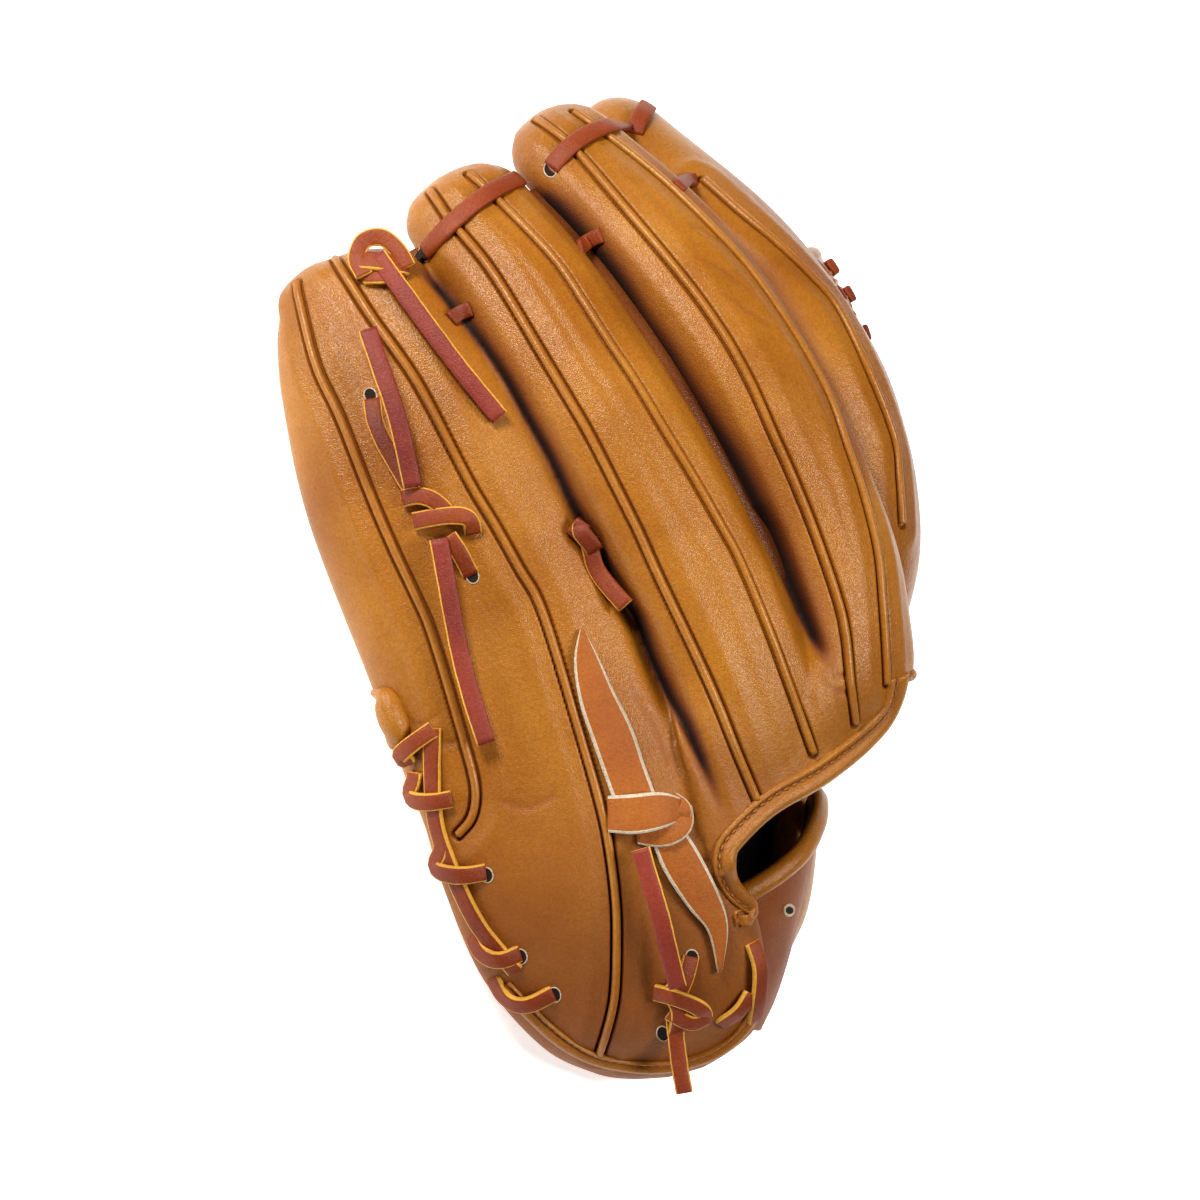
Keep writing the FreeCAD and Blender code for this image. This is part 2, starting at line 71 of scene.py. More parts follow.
# Stations of the stalls, from the heel or the binding to the tip:
# y, x, z, half width, half thickness, and the roll of the back in degrees towards the thumb.
STALLS = {
    "pinky": [
        (-145, -37, 20, 6, 3.5, -40), (-142, -38.5, 20.5, 17, 8.5, -40), (-137, -41, 22.5, 26, 11, -40),
        (-125, -49, 27.5, 35.5, 13, -40), (-100, -59.2, 33, 42.5, 14, -40), (-70, -66.8, 37, 43, 14, -40),
        (-50, -68, 36.5, 42, 15, -40), (-28, -70.4, 34.6, 41, 15.5, -40), (0, -73, 32.5, 39.8, 15.8, -40),
        (50, -78, 27.5, 37.2, 15.8, -40), (83, -79, 22.9, 31.5, 14.5, -40),
        (98, -78.2, 19.9, 27.4, 13.4, -40), (108, -77.2, 18.5, 23.4, 12.3, -40),
    ],
    "ring": [
        (-90, -33, 71.5, 12, 3, -22), (-70, -29, 74.5, 18, 4, -20), (-50, -25, 78.5, 23, 8, -20),
        (-28, -22.5, 77, 23.2, 14.5, -24), (0, -25.5, 74.5, 23.2, 15.5, -25),
        (50, -33.5, 67, 22.8, 15.5, -25), (95, -38.5, 51, 22, 14.8, -25), (124, -38.5, 34, 19.8, 12.5, -25),
    ],
    "middle": [
        (-82, -12, 77, 16, 3, -4), (-62, 2, 82.5, 22, 4, 0), (-46, 12, 86.5, 23.5, 9, 2),
        (-28, 18, 86, 21.6, 14.5, 2), (0, 19.5, 86.5, 21, 15.5, 0), (50, 13.5, 81, 21.6, 15.5, 0),
        (95, 8.8, 64, 21.8, 14.8, 0), (132, 3.6, 39.4, 20, 12.5, 0),
    ],
    "index": [
        (-64, 25, 74, 16, 3, 32), (-46, 31.8, 69.5, 20, 4, 36), (-37, 38.6, 65.5, 20, 6.5, 39),
        (-28, 48.4, 61, 20, 10.5, 42), (-14, 53.8, 63.2, 20.3, 13.2, 38), (0, 56, 65, 20.5, 15, 34),
        (22, 58, 66, 20.5, 15.3, 29), (50, 55, 66, 20, 15, 25), (90, 51, 48.4, 20.3, 15.2, 25),
        (131, 44.5, 19.4, 15.5, 13, 25),
    ],
    "thumb": [
        (-128, 8, 9, 7, 3.5, 30), (-110, 25, 13, 11, 5.5, 38), (-85, 35, 15.5, 15, 7.5, 42),
        (-72, 39.5, 16, 16.5, 7.8, 43), (-60, 49, 19.8, 19, 9, 45), (-28, 68, 22, 19.5, 14, 45),
        (0, 79, 20, 20, 14.8, 45), (40, 88, 19, 19.5, 14.3, 45), (70, 88, 18, 16.5, 12.8, 45),
        (82, 86, 17, 13, 10.5, 45),
    ],
}
# Length of each rounded tip, and how square the section is (2 is an ellipse).
TIPS = {"pinky": 13.5, "ring": 12.5, "middle": 17, "index": 18, "thumb": 13}
SQUARENESS = {"pinky": 2.6, "ring": 2.05, "middle": 2.05, "index": 2.1, "thumb": 2.2}
# Welts of the back, as (across, along) points.
WELTS = {
    "pinky_outer": [
        (-61.6, 117), (-62.2, 112), (-62.7, 91), (-60, 74), (-57.5, 48), (-55.3, 31), (-53, 17), (-51.3, 3),
        (-51, -30), (-51.6, -44), (-55, -52), (-60.5, -56)],
    "pinky_inner": [
        (-48.4, 121), (-46.8, 115), (-42.7, 101), (-38, 88), (-33.8, 74), (-28, 45), (-24, 30), (-20.5, 15),
        (-17.5, 2), (-16.8, -30), (-16.8, -59), (-18, -74), (-20.5, -89), (-23.7, -101), (-28.6, -116),
        (-34, -126), (-38, -132)],
    "ring_left": [
        (-16.2, 135.5), (-14.3, 130), (-11.6, 122), (-4, 104), (4, 74), (7.7, 60), (10.7, 48), (13.6, 33),
        (16.6, 17), (18.8, 2), (23.3, -25), (25.5, -40), (27, -55), (29, -71)],
    "ring_right": [
        (-2.4, 134.8), (0, 131), (4.7, 123), (15, 103), (19.6, 89), (24, 74), (28.5, 60), (33, 43),
        (37.4, 27), (41, 12), (43.7, 0), (46.3, -22), (47.7, -40), (49.2, -62)],
    "middle_left": [
        (21.8, 146), (26, 140.5), (30.7, 133), (40, 112), (50, 89), (55, 76), (59, 63), (62, 49), (64, 34),
        (66, 20), (67.8, 3), (69, -18), (68.5, -30), (66, -44), (64, -57)],
    "middle_right": [
        (33.7, 145), (39.5, 137.5), (45.5, 129.5), (50.7, 122), (57, 112), (67.8, 92), (73, 80), (77.4, 67),
        (81, 54), (84, 39), (84.8, 24), (85.5, 9), (84.8, -9), (82, -24), (79, -38), (76.6, -48)],
    "index_left": [
        (66, 115), (74, 102), (81.6, 90.7), (89, 78), (94.7, 65), (98.4, 42), (100, 22.5), (98, 10),
        (95, -3)],
}


def curve_through(points, count):
    """A smooth line (Catmull-Rom) through the points, as an array of rows."""
    p = np.asarray(points, float)
    p = np.vstack([2 * p[0] - p[1], p, 2 * p[-1] - p[-2]])
    place = np.linspace(0, len(points) - 1 - 1e-9, count)
    k = place.astype(int)
    t = (place - k)[:, None]
    a, b, c, d = p[k], p[k + 1], p[k + 2], p[k + 3]
    return 0.5 * (2 * b + (c - a) * t + (2 * a - 5 * b + 4 * c - d) * t**2 + (3 * b - a - 3 * c + d) * t**3)


def eased(values, count):
    """Numbers spread smoothly over a line of the given count, as one column."""
    return curve_through([(value,) for value in values], count)


def repeated(value, count):
    """The same direction or profile for each point of a line."""
    return np.repeat(np.asarray(value, float)[None], count, axis=0)


def shade_smooth(mesh):
    mesh.polygons.foreach_set("use_smooth", [True] * len(mesh.polygons))


def new_object(name, data):
    obj = bpy.data.objects.new(name, data)
    bpy.context.scene.collection.objects.link(obj)
    return obj


def mesh_object(name, vertices, faces):
    mesh = bpy.data.meshes.new(name)
    mesh.from_pydata([tuple(v) for v in vertices], [], faces)
    mesh.update()
    shade_smooth(mesh)
    return new_object(name, mesh)


def merged(objects):
    """The vertices and the faces of several objects as one list each."""
    vertices, faces = [], []
    for obj in objects:
        shift = len(vertices)
        vertices += [v.co.copy() for v in obj.data.vertices]
        faces += [tuple(i + shift for i in p.vertices) for p in obj.data.polygons]
    return vertices, faces


def ring_faces(count, around):
    """Faces that join rings of points, one after another, into a tube with two caps."""
    faces = []
    for here in range(0, (count - 1) * around, around):
        ahead = here + around
        for j in range(around):
            k = (j + 1) % around
            faces.append((here + j, here + k, ahead + k, ahead + j))
    last = (count - 1) * around
    return [*faces, tuple(reversed(range(around))), tuple(range(last, last + around))]


def dressed(obj, material):
    obj.data.materials.clear()
    obj.data.materials.append(material)
    return obj


def coordinates(obj):
    out = np.empty(len(obj.data.vertices) * 3)
    obj.data.vertices.foreach_get("co", out)
    return out.reshape(-1, 3)


def vertex_normals(obj):
    out = np.empty(len(obj.data.vertices) * 3)
    obj.data.vertices.foreach_get("normal", out)
    return out.reshape(-1, 3)


def set_coordinates(obj, points):
    obj.data.vertices.foreach_set("co", np.asarray(points, float).ravel())
    obj.data.update()


def baked(obj):
    """The object with its modifiers applied."""
    graph = bpy.context.evaluated_depsgraph_get()
    mesh = bpy.data.meshes.new_from_object(obj.evaluated_get(graph))
    obj.modifiers.clear()
    old = obj.data
    obj.data = mesh
    bpy.data.meshes.remove(old)
    return obj


def smoothed(obj, factor, rounds):
    """The object with its modifiers applied and then smoothed."""
    smooth = obj.modifiers.new("smooth", "SMOOTH")
    smooth.factor = factor
    smooth.iterations = rounds
    return baked(obj)


# ---- camera and light ----

def add_camera():
    """Looks down the direction of sight from far away, as a long lens does."""
    camera = new_object("camera", bpy.data.cameras.new("camera"))
    distance, width_seen, sensor = 4.0, 0.360, 36
    turn = Matrix((VIEW_RIGHT, VIEW_UP, TOWARDS)).transposed().to_4x4()
    camera.matrix_world = Matrix.Translation(MIDDLE * MM + TOWARDS * distance) @ turn
    camera.data.sensor_width = sensor
    camera.data.lens = sensor * distance / width_seen
    camera.data.clip_end = 20
    bpy.context.scene.camera = camera


def add_lamp(name, place, aim, size, power):
    data = bpy.data.lights.new(name, "AREA")
    data.shape = "DISK"
    data.size = size
    data.energy = power
    lamp = new_object(name, data)
    lamp.location = place
    lamp.rotation_euler = (Vector(aim) - Vector(place)).to_track_quat("-Z", "Y").to_euler()


def from_view(right, up, towards):
    """A place given in metres from the middle of the glove, in the camera's own directions."""
    return MIDDLE * MM + VIEW_RIGHT * right + VIEW_UP * up + TOWARDS * towards


def add_studio():
    bpy.context.scene.view_settings.view_transform = "Standard"
    bpy.context.scene.view_settings.look = "Medium High Contrast"
    world = bpy.data.worlds.new("studio")
    world.use_nodes = True
    world.node_tree.nodes["Background"].inputs["Color"].default_value = (1, 1, 1, 1)
    world.node_tree.nodes["Background"].inputs["Strength"].default_value = 0.1
    bpy.context.scene.world = world
    add_lamp("key", from_view(-0.3, 0.64, 0.72), (-0.02, 0.06, 0.06), 0.34, 9.8)
    add_lamp("side", from_view(-1.3, 0.1, 0.5), (-0.05, 0, 0.05), 0.7, 2.2)
    add_lamp("fill", from_view(0.95, 0.05, 0.75), (0.05, -0.01, 0.05), 0.5, 11)
    half = 6
    floor = mesh_object("floor", [(-half, -half, 0), (half, -half, 0), (half, half, 0), (-half, half, 0)],
                        [(0, 1, 2, 3)])
    look = NodeMaterial("floor")
    look.feed(look.shader, {"Base Color": (0.97, 0.97, 0.97, 1), "Roughness": 0.9,
                            "Emission Color": (1, 1, 1, 1), "Emission Strength": 0.6})
    dressed(floor, look.material)


# ---- materials ----

class NodeMaterial:
    """A material whose nodes are added one by one; a node's input is a value or another node's socket."""

    def __init__(self, name):
        self.material = bpy.data.materials.new(name)
        self.material.use_nodes = True
        self.nodes = self.material.node_tree.nodes
        self.shader = self.nodes["Principled BSDF"]

    def feed(self, node, inputs):
        for key, value in inputs.items():
            if isinstance(value, bpy.types.NodeSocket):
                self.material.node_tree.links.new(value, node.inputs[key])
            else:
                node.inputs[key].default_value = value
        return node

    def add(self, kind, inputs):
        return self.feed(self.nodes.new(kind), inputs)

    def noise(self, place, scale, detail, rough=0.55):
        inputs = {"Vector": place, "Scale": scale, "Detail": detail, "Roughness": rough}
        return self.add("ShaderNodeTexNoise", inputs).outputs["Fac"]

    def ramp(self, source, stops):
        node = self.add("ShaderNodeValToRGB", {"Fac": source})
        elements = node.color_ramp.elements
        for element, (place, colour) in zip(elements, (stops[0], stops[-1])):
            element.position, element.color = place, (*colour, 1)
        for place, colour in stops[1:-1]:
            elements.new(place).color = (*colour, 1)
        return node.outputs["Color"]

    def mix(self, kind, factor, a, b):
        node = self.nodes.new("ShaderNodeMix")
        node.data_type = "RGBA"
        node.blend_type = kind
        return self.feed(node, {"Factor": factor, "A": a, "B": b}).outputs["Result"]

    def math(self, operation, *values):
        node = self.nodes.new("ShaderNodeMath")
        node.operation = operation
        return self.feed(node, dict(enumerate(values))).outputs["Value"]


# What the colour of the leather is multiplied by in its specks, and the colours of painted shade and of the
# darkest painted shade.
SPECKS = [(0.36, (0.68, 0.58, 0.5)), (0.62, (1.08, 1.08, 1.0))]
PAINTED_SHADE_COLOUR = (0.20, 0.046, 0.006, 1)
DARKEST_PAINTED_SHADE_COLOUR = (0.012, 0.003, 0.001, 1)
DARKEST_PAINTED_SHADE_POWER = 3.5
PAINTED_SHADE_DULLNESS = 0.5


def leather(name, light, mid, dark, grain=1500, bump=0.38, rough=(0.28, 0.4)):
    """Pebbled leather: cells for the grain, cloudy colour, and painted shade, which makes it darker and
    duller where the mesh has it.
    """
    look = NodeMaterial(name)
    place = look.nodes.new("ShaderNodeTexCoord").outputs["Object"]
    attribute = look.nodes.new("ShaderNodeAttribute")
    attribute.attribute_name = "painted_shade"
    painted_shade = attribute.outputs["Fac"]
    clouds = look.ramp(look.noise(place, 22, 5), [(0.3, dark), (0.5, mid), (0.72, light)])
    colour = look.mix("MULTIPLY", 0.45, clouds, look.ramp(look.noise(place, 1100, 3, 0.65), SPECKS))
    # Painted shade: the colour goes to dark brown, and to near black where the painted shade is strongest.
    colour = look.mix("MIX", painted_shade, colour, PAINTED_SHADE_COLOUR)
    colour = look.mix("MIX", look.math("POWER", painted_shade, DARKEST_PAINTED_SHADE_POWER), colour, DARKEST_PAINTED_SHADE_COLOUR)
    cells = look.add("ShaderNodeTexVoronoi", {"Vector": place, "Scale": grain})
    cells.feature = "DISTANCE_TO_EDGE"
    fine_noise = look.noise(place, grain * 0.6, 3, 0.6)
    pebbles = look.math("MULTIPLY_ADD", cells.outputs["Distance"], 0.9, fine_noise)
    fine = look.add("ShaderNodeBump", {"Strength": bump, "Distance": 0.0005, "Height": pebbles})
    creases = look.noise(place, 85, 7, 0.62)
    wide = look.add("ShaderNodeBump", {"Strength": 0.24, "Distance": 0.0012, "Height": creases,
                                       "Normal": fine.outputs["Normal"]})
    wear = look.add("ShaderNodeMapRange", {"Value": look.noise(place, 60, 5), "To Min": rough[0],
                                           "To Max": rough[1]})
    roughness = look.math("MULTIPLY_ADD", painted_shade, PAINTED_SHADE_DULLNESS, wear.outputs["Result"])
    look.feed(look.shader, {"Base Color": colour, "Normal": wide.outputs["Normal"], "Roughness": roughness,
                            "Specular IOR Level": 0.42})
    return look.material


# Name, then the light, middle and dark colour of the clouds.
TAN = leather("tan_leather", (0.41, 0.172, 0.021), (0.345, 0.132, 0.013), (0.27, 0.090, 0.007))
# The pocket leather is a real part, but its dark colour is painted shade where it shows in the gaps between
# the stalls.
POCKET = leather("pocket_leather", (0.20, 0.062, 0.012), (0.15, 0.042, 0.008), (0.10, 0.026, 0.005))
DARK_TAN = leather("strap_leather", (0.29, 0.085, 0.014), (0.24, 0.066, 0.010), (0.19, 0.048, 0.007),
                   rough=(0.5, 0.65))
STRAP_TAN = leather("loop_strap_leather", (0.42, 0.135, 0.016), (0.35, 0.105, 0.011), (0.27, 0.074, 0.007),
                    rough=(0.55, 0.7))
WELT = leather("welt_leather", (0.42, 0.18, 0.026), (0.36, 0.142, 0.018), (0.28, 0.10, 0.011), bump=0.2)
LACE = leather("lace_leather", (0.30, 0.062, 0.008), (0.23, 0.040, 0.005), (0.14, 0.020, 0.002),
               rough=(0.45, 0.6))
TAIL = leather("lace_tail_leather", (0.29, 0.048, 0.024), (0.22, 0.032, 0.016), (0.13, 0.016, 0.008),
               rough=(0.42, 0.6))
RAW = leather("raw_edge", (0.75, 0.44, 0.06), (0.62, 0.33, 0.04), (0.45, 0.2, 0.03), bump=0.5,
              rough=(0.6, 0.8))
PALE = leather("pale_edge", (0.70, 0.62, 0.50), (0.55, 0.45, 0.34), (0.36, 0.26, 0.17), bump=0.6,
               rough=(0.7, 0.9))
# Near black for the painted shade inside the punched holes.
HOLE_SHADE = leather("hole_shade", (0.03, 0.012, 0.006), (0.02, 0.008, 0.004), (0.01, 0.004, 0.002),
               rough=(0.8, 0.9))
THREAD = leather("thread", (0.42, 0.17, 0.035), (0.36, 0.14, 0.026), (0.28, 0.10, 0.018), 3000, bump=0.4)
LINING = leather("lining_leather", (0.05, 0.018, 0.008), (0.03, 0.01, 0.005), (0.015, 0.006, 0.003),
                 rough=(0.6, 0.8))
FELT = leather("felt", (0.8, 0.78, 0.72), (0.72, 0.7, 0.64), (0.6, 0.58, 0.52), bump=0.8, rough=(0.85, 0.95))
PLASTIC = leather("stiffener_plastic", (0.7, 0.68, 0.62), (0.64, 0.62, 0.57), (0.56, 0.54, 0.5), bump=0.05)


# ---- skins of the stalls ----

# Shares of a tip's length at which it has a ring of points, and the power of its rounding (2 is a circle).
TIP_SHARES = (0.25, 0.5, 0.7, 0.84, 0.93, 0.98, 0.998)
TIP_ROUNDING = 2.25
# Below this y the rings turn square to the glove, over this length, and no ring is thinner than this.
SQUARE_FROM, SQUARE_OVER, LEAST_HALF = -25, 30, 0.5


def rounded_end(rows, reach):
    """Stations that close a tube over the given length."""
    last, before = np.array(rows[-1], float), np.array(rows[-3], float)
    step = last - before
    step = step / np.linalg.norm(step[:3])
    out = []
    for share in TIP_SHARES:
        row = last.copy()
        row[:3] += step[:3] * reach * share
        row[3:5] *= (1 - share**TIP_ROUNDING) ** (1 / TIP_ROUNDING)
        out.append(row)
    return np.vstack([rows, out])


def unit(rows):
    return rows / np.linalg.norm(rows, axis=1)[:, None]


def tube_points(name, around=84, step=2.0):
    """Rings of points along a stall, with a rounded tip; towards the heel the rings stand square to y."""
    rows = np.array(STALLS[name], float)
    length = np.linalg.norm(np.diff(rows[:, :3], axis=0), axis=1).sum()
    fine = rounded_end(curve_through(rows, int(length / step)), TIPS[name])
    middles = fine[:, [1, 0, 2]]
    along = unit(np.gradient(middles, axis=0))
    square = np.clip((SQUARE_FROM - middles[:, 1]) / SQUARE_OVER, 0, 1)[:, None]
    along = unit(along * (1 - square) + np.array([0, 1, 0]) * square)
    roll = np.radians(fine[:, 5])
    across = np.stack([np.cos(roll), np.zeros(len(roll)), -np.sin(roll)], axis=1)
    back = unit(np.cross(across, along))
    across = np.cross(along, back)
    angle = np.linspace(0, 2 * math.pi, around, endpoint=False)
    flat = 2 / SQUARENESS[name]
    c = np.sign(np.cos(angle)) * np.abs(np.cos(angle)) ** flat
    s = np.sign(np.sin(angle)) * np.abs(np.sin(angle)) ** flat
    wide = np.maximum(fine[:, 3], LEAST_HALF)[:, None, None] * c[None, :, None]
    thick = np.maximum(fine[:, 4], LEAST_HALF)[:, None, None] * s[None, :, None]
    return middles[:, None, :] + wide * across[:, None, :] + thick * back[:, None, :]


def stall_solid(name):
    """A closed mesh of one stall, in metres."""
    points = tube_points(name)
    return mesh_object(name, points.reshape(-1, 3) * MM, ring_faces(*points.shape[:2]))


def melted(name, solids, voxel, smoothing):
    """Solids joined into one skin of tan leather by a voxel remesh, then smoothed."""
    obj = mesh_object(name, *merged(solids))
    for solid in solids:
        bpy.data.objects.remove(solid)
    remesh = obj.modifiers.new("remesh", "REMESH")
    remesh.mode = "VOXEL"
    remesh.voxel_size = voxel * MM
    shade_smooth(smoothed(obj, 0.5, smoothing).data)
    return dressed(obj, TAN)


class Surface:
    """A skin that points can be dropped onto."""

    def __init__(self, obj):
        self.tree = BVHTree.FromPolygons(*merged([obj]))

    def seen(self, across, along):
        """The point of the skin, and its normal, behind a point of the tilted view."""
        start = MIDDLE * MM + (ACROSS * across + ALONG * along) * MM + TOWARDS * 0.5
        place, normal, _, _ = self.tree.ray_cast(start, -TOWARDS)
        if place is None:
            place, normal, _, _ = self.tree.find_nearest(start - TOWARDS * 0.5)
        return place, normal

    def near(self, points, count):
        """Points and normals of the skin nearest to a smooth line through points, in millimetres."""
        found = [self.tree.find_nearest(Vector(p * MM)) for p in curve_through(points, count)]
        return np.array([place for place, _, _, _ in found]), np.array([normal for _, normal, _, _ in found])

    def route(self, points, count):
        """Points and normals on the skin along a smooth line of (across, along) points."""
        found = [self.seen(across, along) for across, along in curve_through(points, count)]
        return np.array([place for place, _ in found]), np.array([normal for _, normal in found])


def relaxed(values, times=3):
    """Rows of points, evened out without moving the ends."""
    out = values.copy()
    for _ in range(times):
        out[1:-1] = 0.5 * out[1:-1] + 0.25 * (out[:-2] + out[2:])
    return out


def tree_of(places):
    tree = KDTree(len(places))
    for i, place in enumerate(places):
        tree.insert(place, i)
    tree.balance()
    return tree


def nearest(points, lines):
    """Distance from each point to the nearest point of the lines, in metres."""
    tree = tree_of(np.vstack(lines))
    return np.array([tree.find(place)[2] for place in points])


def hollowness(obj, rounds):
    """How far each vertex lies below a much smoother copy of the skin, in metres."""
    copy = smoothed(new_object("smooth_copy", obj.data.copy()), 1.0, rounds)
    gap = ((coordinates(copy) - coordinates(obj)) * vertex_normals(obj)).sum(axis=1)
    bpy.data.objects.remove(copy)
    return gap


def groove(obj, lines, seam, width, depth, puff):
    """Sew lines into a skin: a groove each side of the line and a puffed margin beyond."""
    points = coordinates(obj)
    gap = nearest(points, lines) / MM
    cut = depth * np.exp(-((gap - seam * 0.5) / width) ** 2)
    swell = puff * np.exp(-((gap - seam * 2.6) / 2.4) ** 2)
    points += vertex_normals(obj) * ((swell - cut) * MM)[:, None]
    set_coordinates(obj, points)
    return gap


def refined(obj, lines, reach):
    """Halve the edges of a skin near the lines."""
    near = nearest(coordinates(obj), lines) < reach * MM
    mesh = bmesh.new()
    mesh.from_mesh(obj.data)
    edges = [e for e in mesh.edges if near[e.verts[0].index] and near[e.verts[1].index]]
    bmesh.ops.subdivide_edges(mesh, edges=edges, cuts=1, use_grid_fill=True)
    mesh.to_mesh(obj.data)
    mesh.free()
    shade_smooth(obj.data)


def score(obj, lines, width, depth):
    """Fold fine creases into a skin; returns how strong they are at each vertex."""
    points = coordinates(obj)
    share = np.exp(-(nearest(points, lines) / (width * MM)) ** 2)
    set_coordinates(obj, points - vertex_normals(obj) * (share * depth * MM)[:, None])
    return share


def paint(obj, values):
    """Store how much shade is painted on each vertex, 0 to 1, for the material."""
    layer = obj.data.attributes.new("painted_shade", "FLOAT", "POINT")
    layer.data.foreach_set("value", np.clip(values, 0, 1).astype(np.float32))


def circle(radius, around=10, lift=0.0):
    turn = np.linspace(0, 2 * math.pi, around, endpoint=False)
    return [(radius * math.cos(t), radius * math.sin(t) + lift) for t in turn]


# ---- laces, bindings and stitches ----

def with_slots(obj, materials, slots):
    """Give an object several materials and say which one each face has."""
    for material in materials:
        obj.data.materials.append(material)
    obj.data.polygons.foreach_set("material_index", slots)
    return obj


def swept(name, places, normals, shapes, materials, sides=None):
    """Sweep one closed profile per point; shapes is (points, corners, 2) in millimetres."""
    run = np.gradient(places, axis=0)
    run /= np.maximum(np.linalg.norm(run, axis=1), 1e-9)[:, None]
    side = np.cross(run, normals)
    side /= np.maximum(np.linalg.norm(side, axis=1), 1e-9)[:, None]
    up = np.cross(side, run)
    shape = np.asarray(shapes, float) * MM
    rings = places[:, None, :] + shape[:, :, :1] * side[:, None, :] + shape[:, :, 1:] * up[:, None, :]
    count, around, _ = rings.shape
    faces = [(first, *reversed(rest)) for first, *rest in ring_faces(count, around)]
    slots = (sides or [0] * around) * (count - 1) + [len(materials) - 1] * 2
    return with_slots(mesh_object(name, rings.reshape(-1, 3), faces), materials, slots)


# Corners of a flat lace, as shares of its width and thickness, and which of its faces are cut edges.
LACE_SHAPE = [(-0.44, 0.0), (0.44, 0.0), (0.5, 0.12), (0.5, 0.82), (0.42, 1.0), (0.2, 1.08), (-0.2, 1.08),
              (-0.42, 1.0), (-0.5, 0.82), (-0.5, 0.12)]
LACE_EDGES = {"both": [0, 1, 1, 1, 0, 0, 0, 1, 1, 1], "plus": [0, 1, 1, 1, 0, 0, 0, 0, 0, 0],
              "minus": [0, 0, 0, 0, 0, 0, 0, 1, 1, 1]}


def flat_strip(name, places, normals, width, thick, face, edge, seed, bright="both"):
    """A flat cut strip along a line, with slightly uneven edges."""
    count = len(places)
    shapes = np.empty((count, len(LACE_SHAPE), 2))
    for i in range(count):
        wobble = 1 + 0.05 * noise.noise(Vector((i * 0.23, seed * 3.1, 0.7)))
        shapes[i] = [(x * width * wobble, z * thick) for x, z in LACE_SHAPE]
    return swept(name, places, normals, shapes, [face, edge], LACE_EDGES[bright])


LACE_STEP = 1.0


class Lacing:
    """Lays laces on a skin; each one is cut a little differently."""

    def __init__(self, surface):
        self.surface = surface
        self.count = 0

    def path(self, points, lifts):
        length = sum(math.dist(a, b) for a, b in zip(points, points[1:]))
        count = max(10, int(length / LACE_STEP))
        places, normals = self.surface.route(points, count)
        places, normals = relaxed(places, 6), unit(relaxed(normals, 12))
        return places + normals * eased(lifts, count) * MM, normals

    def lay(self, name, points, lifts, width=5.6, thick=1.7, bright="plus", facing=0.0, edge=RAW):
        """A lace through (across, along) points; facing is how far it turns to the viewer, 0 to 1."""
        places, normals = self.path(points, lifts)
        normals = normals * (1 - facing) + np.array(TOWARDS) * facing
        self.count += 1
        return flat_strip(name, places, normals, width, thick, LACE, edge, self.count, bright)


def joined(name, pieces):
    """One object made of several pieces; materials that they share are listed once."""
    materials, slots = [], []
    for piece in pieces:
        for material in piece.data.materials:
            if material not in materials:
                materials.append(material)
        where = [materials.index(material) for material in piece.data.materials]
        slots += [where[polygon.material_index] for polygon in piece.data.polygons]
    obj = mesh_object(name, *merged(pieces))
    for piece in pieces:
        bpy.data.objects.remove(piece)
    return with_slots(obj, materials, slots)


def stitches(name, places, normals, lift, spacing=3.0, long=2.3, radius=0.38):
    """Short raised threads along a line, end to end with small gaps."""
    steps = np.linalg.norm(np.diff(places, axis=0), axis=1)
    total = np.concatenate([[0], np.cumsum(steps)]) / MM

    def at(rows, where):
        return np.array([np.interp(where, total, rows[:, k]) for k in range(3)])

    points, faces = [], []
    for middle in np.arange(spacing * 0.5, total[-1] - spacing * 0.5, spacing):
        faces += [tuple(len(points) + i for i in face) for face in ring_faces(5, 6)]
        for share in np.linspace(-0.5, 0.5, 5):
            where = middle + share * long
            centre, normal = at(places, where), at(normals, where)
            side = np.cross(at(places, where + 0.3) - centre, normal)
            side /= max(np.linalg.norm(side), 1e-9)
            thin = radius * math.sqrt(max(0.08, 1 - (2 * share) ** 2))
            high = lift + 0.35 * math.cos(share * math.pi) - 0.3
            for turn in np.arange(6) * math.pi / 3:
                offset = side * thin * math.cos(turn) + normal * (thin * math.sin(turn) + high)
                points.append(centre + offset * MM)
    return dressed(mesh_object(name, points, faces), THREAD)


def eyelet(name, surface, across, along, wide=1.9, tall=2.3, rim=0.24):
    """A punched hole: a dark disc of painted shade with a pale cut rim."""
    places, normals = [], []
    for turn in np.linspace(0, 2 * math.pi, 25):
        place, normal = surface.seen(across + wide * math.cos(turn), along + tall * math.sin(turn))
        places.append(np.array(place + normal * 0.1 * MM))
        normals.append(np.array(normal))
    places, normals = np.array(places), np.array(normals)
    ring = swept(name + "_rim", places, normals, repeated(circle(rim, 8), 25), [PALE])
    centre = places[:-1].mean(axis=0) + normals[0] * 0.15 * MM
    disc = mesh_object(name + "_hole", [*places[:-1] + normals[:-1] * 0.12 * MM, centre],
                       [(i, (i + 1) % 24, 24) for i in range(24)])
    return joined(name, [ring, dressed(disc, HOLE_SHADE)])


def labelled(obj, replaced):
    """Hide the CAD nodes that a piece stands for, and return the piece."""
    if replaced:
        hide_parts(*replaced)
    return obj


def on(body, obj, slot, *replaced):
    """A piece that rides on one body."""
    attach(obj, body)
    return labelled(obj, replaced)


def bends(obj, slot, *replaced):
    """A skin that crosses from the hand to the fingers: its transform is baked into its mesh and the CAD
    nodes that it stands for are hidden.
    """
    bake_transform(obj)
    return labelled(obj, replaced)


def sheet_grid(rows, count_across, count_along):
    """A smooth grid through rows of points (all of one length)."""
    lines = np.array([curve_through(row, count_across) for row in rows])
    return np.stack([curve_through(lines[:, j], count_along) for j in range(count_across)], axis=1)


